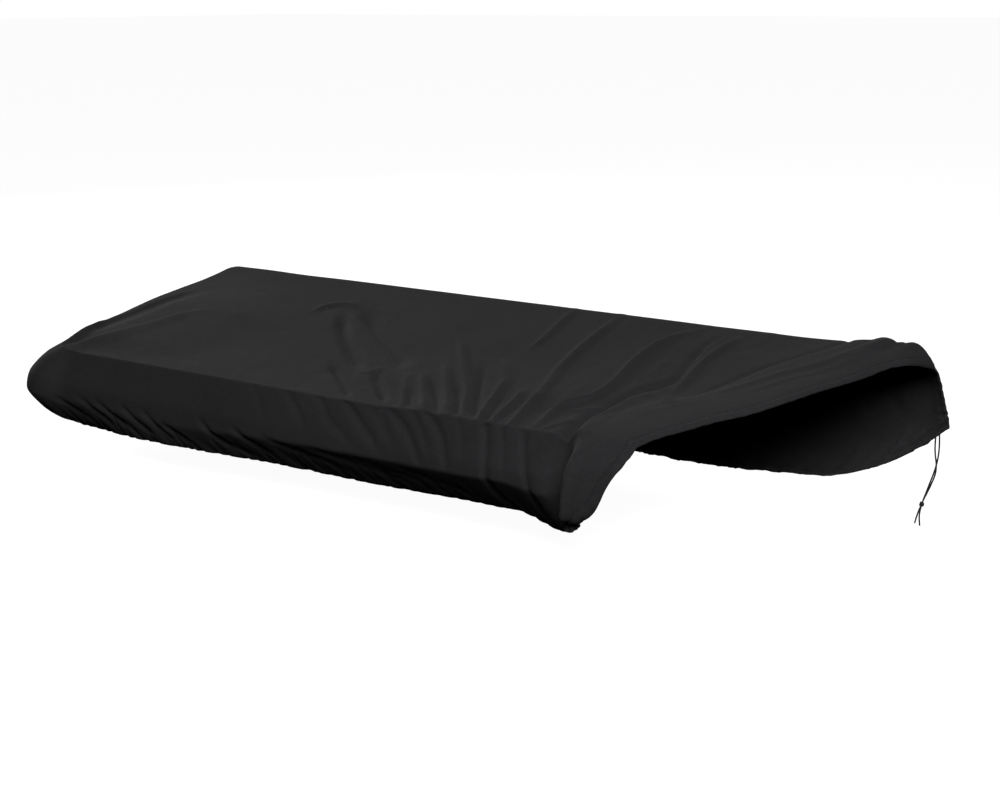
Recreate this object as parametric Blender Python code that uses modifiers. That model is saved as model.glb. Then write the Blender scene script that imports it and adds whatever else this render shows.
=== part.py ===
"""A stretch dust cover for a long low case, drawn back at its right front corner.

The cover is one sheet of cloth: a sloping top with walls that hang from its edges and
turn under at the hem. The right end is open, because the hem there is pulled up over
the top and gathered in long folds. A drawstring leaves the hem at the back right corner.

The origin is on the underside of the top, at the middle of the case. X runs to the
right, Y to the back and Z up. Tables are in millimetres, with heights above the plane
that the case stands on, and the mesh is in metres.
"""

from collections import namedtuple

import bmesh
import bpy
import numpy as np

# Driving sizes of the case that the cover is cut to, in millimetres
CASE_LENGTH = 1160
CASE_DEPTH = 390
FRONT_EDGE_HEIGHT = 84
BACK_EDGE_HEIGHT = 161
EDGE_INSET_FRONT = 16
EDGE_INSET_BACK = 25
FRONT_CORNER_RADIUS = 34
BACK_CORNER_RADIUS = 16
LEFT_INSET = -7

# The cloth and its drawstring
CLOTH = 2.0
HEM_CLOTH = 2.8
TOP_SAG = 3.0
CORD_DIAMETER = 2.0

# How finely the sheet is laid out
PLAIN_COLUMNS = 27
FOLDED_COLUMNS = 20
BUNCH_STEPS = (0.0, 0.13, 0.27, 0.42, 0.57, 0.72, 0.86, 1.0)
TOP_ROWS = 18
WALL_RINGS = (0.07, 0.16, 0.28, 0.4, 0.52, 0.64, 0.76, 0.88, 1.0)

METRE = 0.001
LEFT_X = -CASE_LENGTH / 2 + LEFT_INSET
FRONT_EDGE_Y = -CASE_DEPTH / 2 + EDGE_INSET_FRONT
BACK_EDGE_Y = CASE_DEPTH / 2 - EDGE_INSET_BACK
TOP_SLOPE = (BACK_EDGE_HEIGHT - FRONT_EDGE_HEIGHT) / (BACK_EDGE_Y - FRONT_EDGE_Y)
ORIGIN_HEIGHT = FRONT_EDGE_HEIGHT - TOP_SLOPE * FRONT_EDGE_Y - CLOTH
FOLDED_FROM_X = -40

# The left end of the top stands proud of the rest, up to a slanting line
LEFT_END_LIFT = 8
LEFT_END_SLANT = 0.53
LEFT_END_EASE = 60
LEFT_END_REACH = 300
LEFT_END_FADE = 160

# How a fold fades out towards its two ends, and how it keeps a little of its height there
FOLD_FADE = 0.2
FOLD_AT_ENDS = 0.25

# How the cloth lifts just before the bunch, and how sharply the bunch rolls over at its hem
LIFT_BEFORE_BUNCH = (0.05, 0.1, 0.2, 0.5)
ROLL_SHARPNESS = 7
SWELL_FLATNESS = 4

# The right end of the top, from front to back: where the bunched cloth begins, where
# its hem lies, how far the two stand over the plain top, how far the cloth between them
# swells, and how far the hem itself hangs below the swell
Opening = namedtuple("Opening", "y bunch_x bunch_lift hem_x hem_lift swell drop")
OPENING = (
    Opening(-179, 324, 4, 404, 6, 4, 0),
    Opening(-156, 320, 5, 414, 8, 5, 0),
    Opening(-128, 322, 6, 432, 9, 5, 0),
    Opening(-98, 330, 6, 452, 10, 5, 0),
    Opening(-66, 350, 6, 478, 10, 5, 0),
    Opening(-33, 378, 4, 498, 11, 5, 0),
    Opening(28, 408, 3, 524, 10, 5, 0),
    Opening(78, 422, 3, 548, 8, 4, 0),
    Opening(113, 440, 3, 571, 7, 3, 3),
    Opening(140, 458, 4, 580, 7, 3, 13),
    Opening(170, 478, 4, 584, 6, 4, 24),
)

# Ridges (height over zero) and troughs of the top, each along its own line
Fold = namedtuple("Fold", "name height width line")
FOLDS = (
    Fold("long trough", -8, 36, ((-300, 69), (-237, 25), (-124, -63), (-66, -106))),
    Fold("second trough", -7, 32, ((-232, 64), (-114, -21), (-24, -92), (20, -132))),
    Fold("ridge between the troughs", 7, 34, ((-304, 78), (-237, 50), (-70, -70), (16, -140))),
    Fold("hooked end of the ridge", 6, 30, ((-312, 56), (-296, 86), (-262, 92))),
    Fold("short trough by the front", -4, 32, ((-126, -104), (-36, -163))),
    Fold("fan ridge, left", 5, 28, ((40, -52), (104, -158))),
    Fold("fan ridge, middle", 5, 28, ((84, -28), (134, -104), (164, -166))),
    Fold("thin ridge from the back", 6, 30, ((70, 160), (88, 107), (104, 34))),
    Fold("long ridge, left", 9, 32, ((148, 170), (161, 51), (170, 0), (202, -102), (222, -166))),
    Fold("long ridge, right", 9, 32, ((262, 126), (247, 80), (262, 0), (266, -60), (248, -112), (254, -168))),
    Fold("trough between the long ridges", -5, 34, ((206, 120), (210, 20), (232, -70))),
    Fold("ridge by the bunch", 7, 28, ((338, 130), (339, 67), (346, 8), (352, -34))),
    Fold("small ridge by the bunch", 5, 28, ((297, 127), (306, 76), (312, 20))),
    Fold("trough by the bunch", -6, 32, ((372, 96), (374, 20), (364, -20))),
    Fold("peak of the lobe", 10, 26, ((318, -128), (312, -86), (313, -48), (334, -38), (372, -62))),
    Fold("long fold of the bunch", 8, 26, ((408, -110), (440, -62), (470, 25), (496, 76), (532, 140))),
    Fold("groove of the bunch", -5, 22, ((430, -88), (462, -30), (494, 38), (540, 120))),
    Fold("bulge at the back corner", 5, 40, ((520, 172), (546, 164), (574, 150))),
    Fold("light ridge of the left end", 4, 30, ((-572, -176), (-537, -105), (-474, 19), (-452, 80))),
)

# The walls, one row for each section, from the hem at the lobe, round the left end and
# to the hem at the back right corner. Each pair is how far out from the top's edge the
# cloth stands and its height: at its shoulder, at its fullest, where it turns under, at
# its lowest and at its edge. The slide is how far the edge lies along the wall from
# the top's edge, to the left in front and to the right behind.
Section = namedtuple("Section", "name side at shoulder fullest turn lowest edge slide")
SECTIONS = (
    Section("hem of the lobe", "front", 404, (20, 76), (33, 50), (37, 20), (36, 0), (30, -8), 58),
    Section("lobe, right", "front", 385, (21, 78), (36, 47), (42, 12), (40, -9), (27, -16), 46),
    Section("lobe, middle", "front", 360, (22, 80), (40, 48), (45, 12), (38, -14), (16, -19), 30),
    Section("lobe, left", "front", 334, (20, 78), (37, 48), (40, 14), (28, -15), (4, -18), 15),
    Section("deep fold by the lobe", "front", 314, (9, 66), (13, 40), (11, 18), (2, -17), (-14, -14), 6),
    Section("beside the lobe", "front", 292, (13, 68), (23, 38), (20, 16), (-2, -18), (-22, -14), 2),
    Section("pinch", "front", 190, (13, 68), (24, 38), (21, 18), (-6, -15), (-26, -11), 0),
    Section("front, middle", "front", 0, (13, 68), (25, 38), (22, 17), (-6, -21), (-26, -15), 0),
    Section("front, left", "front", -380, (13, 68), (25, 38), (22, 15), (-5, -23), (-26, -16), 0),
    Section("before the corner", "front", -500, (14, 70), (31, 42), (29, 18), (-2, -24), (-25, -17), 0),
    Section("front left corner", "front", -574, (28, 76), (62, 44), (64, 28), (16, -12), (-12, -14), 0),
    Section("behind the corner", "left", -100, (16, 92), (35, 52), (35, 24), (2, -20), (-20, -14), 0),
    Section("left end, middle", "left", 20, (11, 120), (19, 72), (18, 20), (-6, -22), (-25, -14), 0),
    Section("back left corner", "left", 170, (6, 146), (14, 92), (14, 24), (-6, -18), (-22, -12), 0),
    Section("back, left", "back", -470, (14, 146), (27, 96), (27, 22), (3, -19), (-15, -13), 0),
    Section("back, middle", "back", 60, (14, 146), (28, 96), (28, 20), (4, -20), (-14, -13), 0),
    Section("back, right", "back", 380, (14, 148), (30, 98), (31, 26), (8, -16), (-10, -12), 0),
    Section("back, hem rising", "back", 470, (15, 150), (33, 104), (36, 46), (24, -2), (10, -8), 0),
    Section("flap, left", "back", 530, (17, 150), (37, 110), (42, 66), (40, 30), (34, 16), 2),
    Section("flap, right", "back", 568, (18, 150), (38, 118), (44, 86), (46, 60), (42, 48), 6),
    Section("hem of the flap", "back", 584, (18, 132), (32, 118), (38, 102), (42, 80), (42, 66), 7),
)
PROFILE_PLACES = (0.0, 0.14, 0.38, 0.54, 0.86, 1.0)

# Uneven gathers that the drawstring makes along the hem: wavelength and depth, the
# lengths of edge over which they fade out, and where down the wall they start
GATHERS = ((83.0, 3.0), (57.0, 2.2))
GATHER_FADE_FRONT = 120
GATHER_FADE_BACK = 200
GATHER_START = 0.5
GATHER_GROWS_OVER = 0.35

# Routes of the two free ends of the drawstring, and the knot that ties them
RIGHT_ROUTE = (
    (583.0, 210.7, 56.2),
    (583.4, 210.7, 49.0),
    (583.8, 210.4, 38.0),
    (583.4, 209.8, 27.0),
    (581.8, 209.2, 16.0),
    (578.6, 209.0, 4.0),
    (574.6, 209.2, -8.0),
    (570.6, 209.4, -20.0),
    (567.2, 209.6, -30.0),
    (564.8, 209.6, -39.0),
    (563.4, 209.0, -47.0),
    (563.4, 208.4, -55.0),
    (564.6, 208.0, -63.5),
)
LEFT_ROUTE = (
    (578.4, 210.7, 51.2),
    (578.2, 210.9, 44.0),
    (578.0, 211.4, 36.0),
    (578.6, 212.2, 26.0),
    (580.0, 212.9, 15.0),
    (579.4, 213.0, 4.0),
    (575.8, 212.6, -8.0),
    (571.0, 212.4, -20.0),
    (566.7, 212.2, -30.0),
    (563.4, 211.9, -39.0),
    (560.2, 212.4, -47.0),
    (557.8, 212.6, -55.0),
    (555.8, 212.8, -63.0),
)
KNOT_HEIGHT = -37.0
KNOT_TUBE = 1.1
KNOT_CLEARANCE = 0.4
KNOT_ROUND = 1.2
POINTS_PER_STRETCH = 4


def metres(x, y, height):
    """A place in millimetres, its height above the case's base, as metres from the origin."""
    return (x * METRE, y * METRE, (height - ORIGIN_HEIGHT) * METRE)


def through(places, values, at):
    """Read a smooth curve through the values at the places."""
    places = np.asarray(places, float)
    values = np.asarray(values, float)
    at = np.clip(np.asarray(at, float), places[0], places[-1])
    slopes = np.gradient(values, places, axis=0)
    low = np.clip(np.searchsorted(places, at, side="right") - 1, 0, len(places) - 2)
    span = places[low + 1] - places[low]
    share = (at - places[low]) / span
    if values.ndim > 1:
        share = share[..., None]
        span = span[..., None]
    start = values[low] * (1 + 2 * share) * (1 - share) ** 2
    leave = slopes[low] * span * share * (1 - share) ** 2
    end = values[low + 1] * share ** 2 * (3 - 2 * share)
    arrive = slopes[low + 1] * span * share ** 2 * (share - 1)
    return start + leave + end + arrive


def ease(share):
    """Turn a share from 0 to 1 into one that starts and ends gently."""
    share = np.clip(share, 0, 1)
    return share * share * (3 - 2 * share)


def along_line(x, y, line):
    """Give each place's distance from a line and the share of the line where it is nearest."""
    points = np.asarray(line, float)
    lengths = np.hypot(*np.diff(points, axis=0).T)
    starts = np.concatenate(([0.0], np.cumsum(lengths)))
    distance = np.full(np.shape(x), np.inf)
    share = np.zeros(np.shape(x))
    for start, end, length, before in zip(points, points[1:], lengths, starts):
        step = (end - start) / length
        travel = np.clip((x - start[0]) * step[0] + (y - start[1]) * step[1], 0, length)
        away = np.hypot(x - start[0] - travel * step[0], y - start[1] - travel * step[1])
        nearer = away < distance
        distance = np.where(nearer, away, distance)
        share = np.where(nearer, (before + travel) / starts[-1], share)
    return distance, share


def fold_height(x, y, fold):
    """Raise or sink the cloth along one fold, fading out at its two ends."""
    distance, share = along_line(x, y, fold.line)
    across = np.clip(1 - (distance / fold.width) ** 2, 0, 1) ** 2
    fade = ease(share / FOLD_FADE) * ease((1 - share) / FOLD_FADE)
    return fold.height * across * (FOLD_AT_ENDS + (1 - FOLD_AT_ENDS) * fade)


def plain_top(y):
    """Height of the taut sloping top at a depth, with its slight sag."""
    share = (y - FRONT_EDGE_Y) / (BACK_EDGE_Y - FRONT_EDGE_Y)
    sag = TOP_SAG * np.clip(4 * share * (1 - share), 0, 1)
    return FRONT_EDGE_HEIGHT + TOP_SLOPE * (y - FRONT_EDGE_Y) - sag


def left_end_lift(x, y):
    """The left end stands a little proud of the rest of the top."""
    depth = y - FRONT_EDGE_Y
    ridge_x = LEFT_X + LEFT_END_SLANT * depth
    inside = ease((ridge_x - x) / LEFT_END_EASE + 0.5)
    return LEFT_END_LIFT * inside * ease((LEFT_END_REACH - depth) / LEFT_END_FADE)


def round_corners(x, y):
    """Ease the two left corners of the top into arcs."""
    for edge_y, inward, radius in ((FRONT_EDGE_Y, 1, FRONT_CORNER_RADIUS),
                                   (BACK_EDGE_Y, -1, BACK_CORNER_RADIUS)):
        centre_x = LEFT_X + radius
        centre_y = edge_y + inward * radius
        a = (centre_x - x) / radius
        b = (centre_y - y) * inward / radius
        inside = (a > 0) & (b > 0)
        new_x = centre_x - radius * a * np.sqrt(np.clip(1 - b * b / 2, 0, 1))
        new_y = centre_y - inward * radius * b * np.sqrt(np.clip(1 - a * a / 2, 0, 1))
        x = np.where(inside, new_x, x)
        y = np.where(inside, new_y, y)
    return x, y


def top_points():
    """Lay out the top: rows from front to back, columns from the left end to the hem."""
    depth = np.linspace(FRONT_EDGE_Y, BACK_EDGE_Y, TOP_ROWS + 1)
    ys = [row.y for row in OPENING]
    opening = through(ys, [row[1:] for row in OPENING], depth)
    bunch_x, bunch_lift, hem_x, hem_lift, swell, drop = opening.T
    plain = np.linspace(LEFT_X, FOLDED_FROM_X, PLAIN_COLUMNS + 1)[:-1]
    folded = np.linspace(0, 1, FOLDED_COLUMNS + 1)[:-1]
    bunch = np.asarray(BUNCH_STEPS)
    x = np.concatenate([
        np.repeat(plain[None], len(depth), axis=0),
        FOLDED_FROM_X + (bunch_x[:, None] - FOLDED_FROM_X) * folded,
        bunch_x[:, None] + (hem_x - bunch_x)[:, None] * bunch,
    ], axis=1)
    y = np.repeat(depth[:, None], x.shape[1], axis=1)
    lift = np.zeros(x.shape)
    rise = bunch_lift[:, None] + (hem_lift - bunch_lift)[:, None] * bunch
    swelling = swell[:, None] * (1 - (2 * bunch - 1) ** SWELL_FLATNESS)
    lift[:, -len(bunch):] = rise + swelling - drop[:, None] * bunch ** ROLL_SHARPNESS
    before = len(plain) + len(folded) + np.arange(-len(LIFT_BEFORE_BUNCH), 0)
    lift[:, before] = bunch_lift[:, None] * np.asarray(LIFT_BEFORE_BUNCH)
    x, y = round_corners(x, y)
    height = plain_top(y) + left_end_lift(x, y) + lift
    for fold in FOLDS:
        height = height + fold_height(x, y, fold)
    return np.stack([x, y, height], axis=-1)


def edge_path(top):
    """Walk round the top's edge from the lobe, past the left end, to the back right corner."""
    front = top[0, ::-1]
    left = top[1:, 0]
    back = top[-1, 1:]
    return np.concatenate([front, left, back])


def outward(path):
    """Give each place on the edge its level direction away from the top."""
    step = np.gradient(path[:, :2], axis=0)
    away = np.stack([-step[:, 1], step[:, 0]], axis=1)
    away /= np.linalg.norm(away, axis=1)[:, None]
    away[:FOLDED_COLUMNS] = (0, -1)
    away[-FOLDED_COLUMNS:] = (0, 1)
    return away


def distances_along(path):
    """Give each place's distance along the edge, seen from above."""
    steps = np.linalg.norm(np.diff(path[:, :2], axis=0), axis=1)
    return np.concatenate(([0.0], np.cumsum(steps)))


def run_of(path, runs, side, at):
    """Find how far along the edge a section lies."""
    front_corner = int(np.argmin(path[:, 0] + path[:, 1]))
    back_corner = int(np.argmin(path[:, 0] - path[:, 1]))
    first, last = {
        "front": (0, front_corner),
        "left": (front_corner, back_corner),
        "back": (back_corner, len(path) - 1),
    }[side]
    stretch = path[first:last + 1, 1 if side == "left" else 0]
    return runs[first + int(np.argmin(np.abs(stretch - at)))]


def wall_points(path):
    """Hang the walls from the edge, ring by ring, down to the edge of the hem."""
    runs = distances_along(path)
    away = outward(path)
    rows = []
    for section in SECTIONS:
        pairs = (section.shoulder, section.fullest, section.turn, section.lowest, section.edge)
        rows.append([value for pair in pairs for value in pair] + [section.slide])
    places = [run_of(path, runs, section.side, section.at) for section in SECTIONS]
    values = through(places, rows, runs)
    outs = np.concatenate([np.zeros((len(path), 1)), values[:, 0:-1:2]], axis=1)
    heights = np.concatenate([path[:, 2:], values[:, 1:-1:2]], axis=1)
    slides = np.where(path[:, 1] > 0, values[:, -1], -values[:, -1])
    gather = sum(depth * np.sin(2 * np.pi * runs / length + depth) for length, depth in GATHERS)
    gather *= ease(runs / GATHER_FADE_FRONT) * ease((runs[-1] - runs) / GATHER_FADE_BACK)
    rings = []
    for place in WALL_RINGS:
        out = np.array([through(PROFILE_PLACES, row, place) for row in outs])
        height = np.array([through(PROFILE_PLACES, row, place) for row in heights])
        out += gather * ease((place - GATHER_START) / GATHER_GROWS_OVER)
        across = path[:, 0] + away[:, 0] * out + slides * ease(place)
        rings.append(np.stack([across, path[:, 1] + away[:, 1] * out, height], axis=1))
    return rings


def hang_ring(bm, chain, places):
    """Extrude a chain of corners into the next ring and set the new corners' places."""
    edges = [bm.edges.get(pair) for pair in zip(chain, chain[1:])]
    made = bmesh.ops.extrude_edge_only(bm, edges=edges)["geom"]
    fresh = {item for item in made if isinstance(item, bmesh.types.BMVert)}
    following = []
    for corner, place in zip(chain, places):
        below = next(edge.other_vert(corner) for edge in corner.link_edges
                     if edge.other_vert(corner) in fresh)
        below.co = metres(*place)
        following.append(below)
    return following


def cloth_material():
    """Black knitted stretch cloth: dull, with a soft sheen."""
    material = bpy.data.materials.new("cover_cloth")
    material.use_nodes = True
    shader = material.node_tree.nodes["Principled BSDF"]
    shader.inputs["Base Color"].default_value = (0.014, 0.014, 0.016, 1)
    shader.inputs["Roughness"].default_value = 0.85
    shader.inputs["Metallic"].default_value = 0.0
    return material


def cord_material():
    """Black braided cord."""
    material = bpy.data.materials.new("drawstring_cord")
    material.use_nodes = True
    shader = material.node_tree.nodes["Principled BSDF"]
    shader.inputs["Base Color"].default_value = (0.01, 0.01, 0.011, 1)
    shader.inputs["Roughness"].default_value = 0.7
    shader.inputs["Metallic"].default_value = 0.0
    return material


def make_cover(parts, material):
    """The one sheet of cloth: its top from a grid, its walls hung from the grid's edge."""
    top = top_points()
    rows, columns = top.shape[:2]
    bm = bmesh.new()
    bmesh.ops.create_grid(bm, x_segments=columns - 1, y_segments=rows - 1, size=1)
    bm.verts.ensure_lookup_table()
    corners = sorted(bm.verts, key=lambda corner: (round(corner.co.y, 4), round(corner.co.x, 4)))
    grid = [corners[row * columns:(row + 1) * columns] for row in range(rows)]
    for row in range(rows):
        for column in range(columns):
            grid[row][column].co = metres(*top[row, column])
    chain = grid[0][::-1] + [grid[row][0] for row in range(1, rows)] + grid[-1][1:]
    for ring in wall_points(edge_path(top)):
        chain = hang_ring(bm, chain, ring)
    bm.verts.index_update()
    hem = [corner.index for corner in chain + [grid[row][-1] for row in range(rows)]]
    bmesh.ops.recalc_face_normals(bm, faces=bm.faces)
    upper = grid[rows // 2][columns // 2].link_faces[0]
    if upper.normal.z < 0:
        bmesh.ops.reverse_faces(bm, faces=bm.faces)
    mesh = bpy.data.meshes.new("cover")
    bm.to_mesh(mesh)
    bm.free()
    cover = bpy.data.objects.new("cover", mesh)
    parts.objects.link(cover)
    mesh.materials.append(material)
    mesh.shade_smooth()
    group = cover.vertex_groups.new(name="hem")
    group.add(hem, 1.0, "REPLACE")
    solid = cover.modifiers.new("Thickness", "SOLIDIFY")
    solid.thickness = HEM_CLOTH * METRE
    solid.thickness_vertex_group = CLOTH / HEM_CLOTH
    solid.vertex_group = "hem"
    solid.offset = -1.0
    solid.use_even_offset = True
    return cover


def smooth_route(route):
    """Read a smooth curve through a cord's own points, a few points for each stretch."""
    points = np.asarray(route, float)
    lengths = np.linalg.norm(np.diff(points, axis=0), axis=1)
    places = np.concatenate(([0.0], np.cumsum(lengths)))
    at = np.linspace(0, places[-1], (len(points) - 1) * POINTS_PER_STRETCH + 1)
    return through(places, points, at)


def make_cord(name, route, parts, material):
    """One free end of the drawstring, as a bevelled curve with closed ends."""
    curve = bpy.data.curves.new(name, "CURVE")
    curve.dimensions = "3D"
    curve.bevel_depth = CORD_DIAMETER / 2 * METRE
    curve.bevel_resolution = 2
    curve.use_fill_caps = True
    points = smooth_route(route)
    spline = curve.splines.new("POLY")
    spline.points.add(len(points) - 1)
    for point, place in zip(spline.points, points):
        point.co = (*metres(*place), 1.0)
    cord = bpy.data.objects.new(name, curve)
    cord.data.materials.append(material)
    parts.objects.link(cord)
    return cord


def route_at(route, height):
    """Find where a route passes a height."""
    points = smooth_route(route)[::-1]
    return np.array([np.interp(height, points[:, 2], points[:, axis]) for axis in range(3)])


def make_knot(parts, material):
    """The knot: one round turn of cord that grips both ends where they run side by side."""
    right = route_at(RIGHT_ROUTE, KNOT_HEIGHT)
    left = route_at(LEFT_ROUTE, KNOT_HEIGHT)
    middle = (right + left) / 2
    apart = np.linalg.norm(right - left)
    ahead = route_at(RIGHT_ROUTE, KNOT_HEIGHT + 3) - route_at(RIGHT_ROUTE, KNOT_HEIGHT - 3)
    reach = CORD_DIAMETER / 2 + KNOT_CLEARANCE + KNOT_TUBE
    bpy.ops.mesh.primitive_torus_add(
        major_segments=20, minor_segments=10,
        major_radius=reach * METRE, minor_radius=KNOT_TUBE * METRE)
    knot = bpy.context.object
    knot.name = "drawstring_knot"
    across = (right - left) / apart
    forward = ahead / np.linalg.norm(ahead)
    side = np.cross(forward, across)
    for corner in knot.data.vertices:
        local = np.array(corner.co) / METRE
        stretch = np.sign(local[0]) * apart / 2 * ease(abs(local[0]) / KNOT_ROUND)
        place = middle + across * (local[0] + stretch) + side * local[1] + forward * local[2]
        corner.co = metres(*place)
    knot.data.shade_smooth()
    knot.data.materials.append(material)
    for owner in list(knot.users_collection):
        owner.objects.unlink(knot)
    parts.objects.link(knot)
    return knot


def main():
    for leftover in list(bpy.data.objects):
        bpy.data.objects.remove(leftover, do_unlink=True)
    parts = bpy.data.collections.new("keyboard_dust_cover")
    bpy.context.scene.collection.children.link(parts)
    cloth = cloth_material()
    cord = cord_material()
    make_cover(parts, cloth)
    make_cord("drawstring_right", RIGHT_ROUTE, parts, cord)
    make_cord("drawstring_left", LEFT_ROUTE, parts, cord)
    make_knot(parts, cord)


main()
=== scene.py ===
# %% [markdown]
# # A keyboard dust cover of stretch cloth
#
# This lesson dresses a plain CAD solid as real cloth. The cover is a one-piece bag of
# black stretch knit: a sloping top with walls that hang from its edges, curl under and
# end in a hem with a drawstring in it. It is drawn back at its right front corner, where
# the cloth bunches into long folds and a rolled lobe, and the tied ends of its
# drawstring hang at the back.
#
# The CAD model and this script share one frame, in metres, so nothing has to be fitted.
# The first cell opens that frame and brings in the CAD model's parts.

# %% Open the shared frame
from collections import namedtuple

import bmesh
import bpy
import numpy as np
from mathutils import Matrix


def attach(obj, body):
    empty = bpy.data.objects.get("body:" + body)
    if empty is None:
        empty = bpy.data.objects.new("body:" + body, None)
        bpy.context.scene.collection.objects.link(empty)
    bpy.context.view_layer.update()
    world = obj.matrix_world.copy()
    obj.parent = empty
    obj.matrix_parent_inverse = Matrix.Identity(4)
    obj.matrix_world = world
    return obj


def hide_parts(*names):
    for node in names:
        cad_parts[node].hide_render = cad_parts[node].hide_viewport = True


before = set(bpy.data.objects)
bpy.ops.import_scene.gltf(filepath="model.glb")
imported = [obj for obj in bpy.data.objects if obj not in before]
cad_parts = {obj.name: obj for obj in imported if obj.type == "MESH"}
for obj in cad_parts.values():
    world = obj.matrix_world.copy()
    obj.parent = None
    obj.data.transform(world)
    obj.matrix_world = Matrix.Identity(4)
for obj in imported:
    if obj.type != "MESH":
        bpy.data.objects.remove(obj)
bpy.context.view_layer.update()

# %% [markdown]
# ## The camera
#
# A camera at the photograph's viewpoint makes it easy to compare a render with the
# photograph. It could be placed by eye. Here its place, turn and lens came from a fit to
# the long straight creases, so they are set as plain numbers: 38 degrees round from the
# front, 13 degrees above level, with a lens of 64 mm.

# %% Place the camera
AZIMUTH, ELEVATION, ROLL = np.radians((37.87, 12.90, -0.29))
CAMERA_PLACE = (1.445, -1.762, 0.4556)
LENS_MM = 64.1
SENSOR_MM = 36.0


def camera_matrix(azimuth, elevation, roll, place):
    """Build the camera's matrix from the way it looks, with no upside-down surprises."""
    ahead = np.array([-np.sin(azimuth) * np.cos(elevation),
                      np.cos(azimuth) * np.cos(elevation),
                      -np.sin(elevation)])
    level = np.array([np.cos(azimuth), np.sin(azimuth), 0.0])
    upward = np.cross(level, ahead)
    right = np.cos(roll) * level + np.sin(roll) * upward
    up = np.cos(roll) * upward - np.sin(roll) * level
    matrix = Matrix.Identity(4)
    for column, axis in enumerate((right, up, -ahead, np.array(place))):
        for row in range(3):
            matrix[row][column] = axis[row]
    return matrix


camera = bpy.data.objects.new("camera", bpy.data.cameras.new("camera"))
camera.data.lens = LENS_MM
camera.data.sensor_width = SENSOR_MM
camera.matrix_world = camera_matrix(AZIMUTH, ELEVATION, ROLL, CAMERA_PLACE)
bpy.context.scene.collection.objects.link(camera)
bpy.context.scene.camera = camera
print("camera at", CAMERA_PLACE, "lens", LENS_MM, "mm")

# %% [markdown]
# ## Sizes, and two small helpers
#
# The cover is cut to a form 1160 mm long and 390 mm deep, 84 mm high at the front edge
# of its top and 161 mm at the back edge. Tables below are in millimetres, with heights
# above the form's flat base, because those numbers are easy to picture. `metres` turns
# such a place into the frame's metres. `through` reads a smooth curve through the rows of
# a table, and `ease` makes a change start and end gently.

# %% Name the sizes and the helpers
FORM_LENGTH, FORM_DEPTH = 1160, 390
FRONT_EDGE_HEIGHT, BACK_EDGE_HEIGHT = 84, 161
EDGE_INSET_FRONT, EDGE_INSET_BACK = 16, 25
LEFT_END_SLACK = 7
LEFT_X = -FORM_LENGTH / 2 - LEFT_END_SLACK
FRONT_EDGE_Y = -FORM_DEPTH / 2 + EDGE_INSET_FRONT
BACK_EDGE_Y = FORM_DEPTH / 2 - EDGE_INSET_BACK
TOP_SLOPE = (BACK_EDGE_HEIGHT - FRONT_EDGE_HEIGHT) / (BACK_EDGE_Y - FRONT_EDGE_Y)
CAD_CLOTH = 2.0
ORIGIN_HEIGHT = FRONT_EDGE_HEIGHT - TOP_SLOPE * FRONT_EDGE_Y - CAD_CLOTH
METRE = 0.001


def metres(places):
    """Places in millimetres, with heights above the base, as metres from the origin."""
    places = np.asarray(places, float)
    return (places - (0, 0, ORIGIN_HEIGHT)) * METRE


def through(places, values, at):
    """Read a smooth curve through the values at the places."""
    places = np.asarray(places, float)
    values = np.asarray(values, float)
    at = np.clip(np.asarray(at, float), places[0], places[-1])
    slopes = np.gradient(values, places, axis=0)
    low = np.clip(np.searchsorted(places, at, side="right") - 1, 0, len(places) - 2)
    span = places[low + 1] - places[low]
    share = (at - places[low]) / span
    if values.ndim > 1:
        share = share[..., None]
        span = span[..., None]
    start = values[low] * (1 + 2 * share) * (1 - share) ** 2
    leave = slopes[low] * span * share * (1 - share) ** 2
    end = values[low + 1] * share ** 2 * (3 - 2 * share)
    arrive = slopes[low + 1] * span * share ** 2 * (share - 1)
    return start + leave + end + arrive


def ease(share):
    """Turn a share from 0 to 1 into one that starts and ends gently."""
    share = np.clip(share, 0, 1)
    return share * share * (3 - 2 * share)


def place_where(known, places, value):
    """Read a line of places where something that grows along it reaches a value."""
    return np.array([np.interp(value, known, places[:, axis]) for axis in range(3)])


def smooth_line(points, count):
    """Sample a smooth curve through a few points."""
    points = np.asarray(points, float)
    lengths = np.linalg.norm(np.diff(points, axis=0), axis=1)
    places = np.concatenate(([0.0], np.cumsum(lengths)))
    return through(places, points, np.linspace(0, places[-1], count))


print("top slopes by", round(float(np.degrees(np.arctan(TOP_SLOPE))), 1), "degrees")

# %% [markdown]
# ## The drawstring
#
# A drawstring runs inside the hem, hidden, and its two ends come out at the back right
# corner, where they hang and are tied together. The routes repeat the CAD model's own.
# Each cord is a tube swept along its route: a ring of points is carried along without
# twisting, and a fine braid is left to the material, which reads the tube's UV map,
# unrolled in metres. The tips are rounded, as when a cut end has been sealed with heat:
# TIP_LENGTH and TIP_END are shares of the cord's radius.

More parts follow.
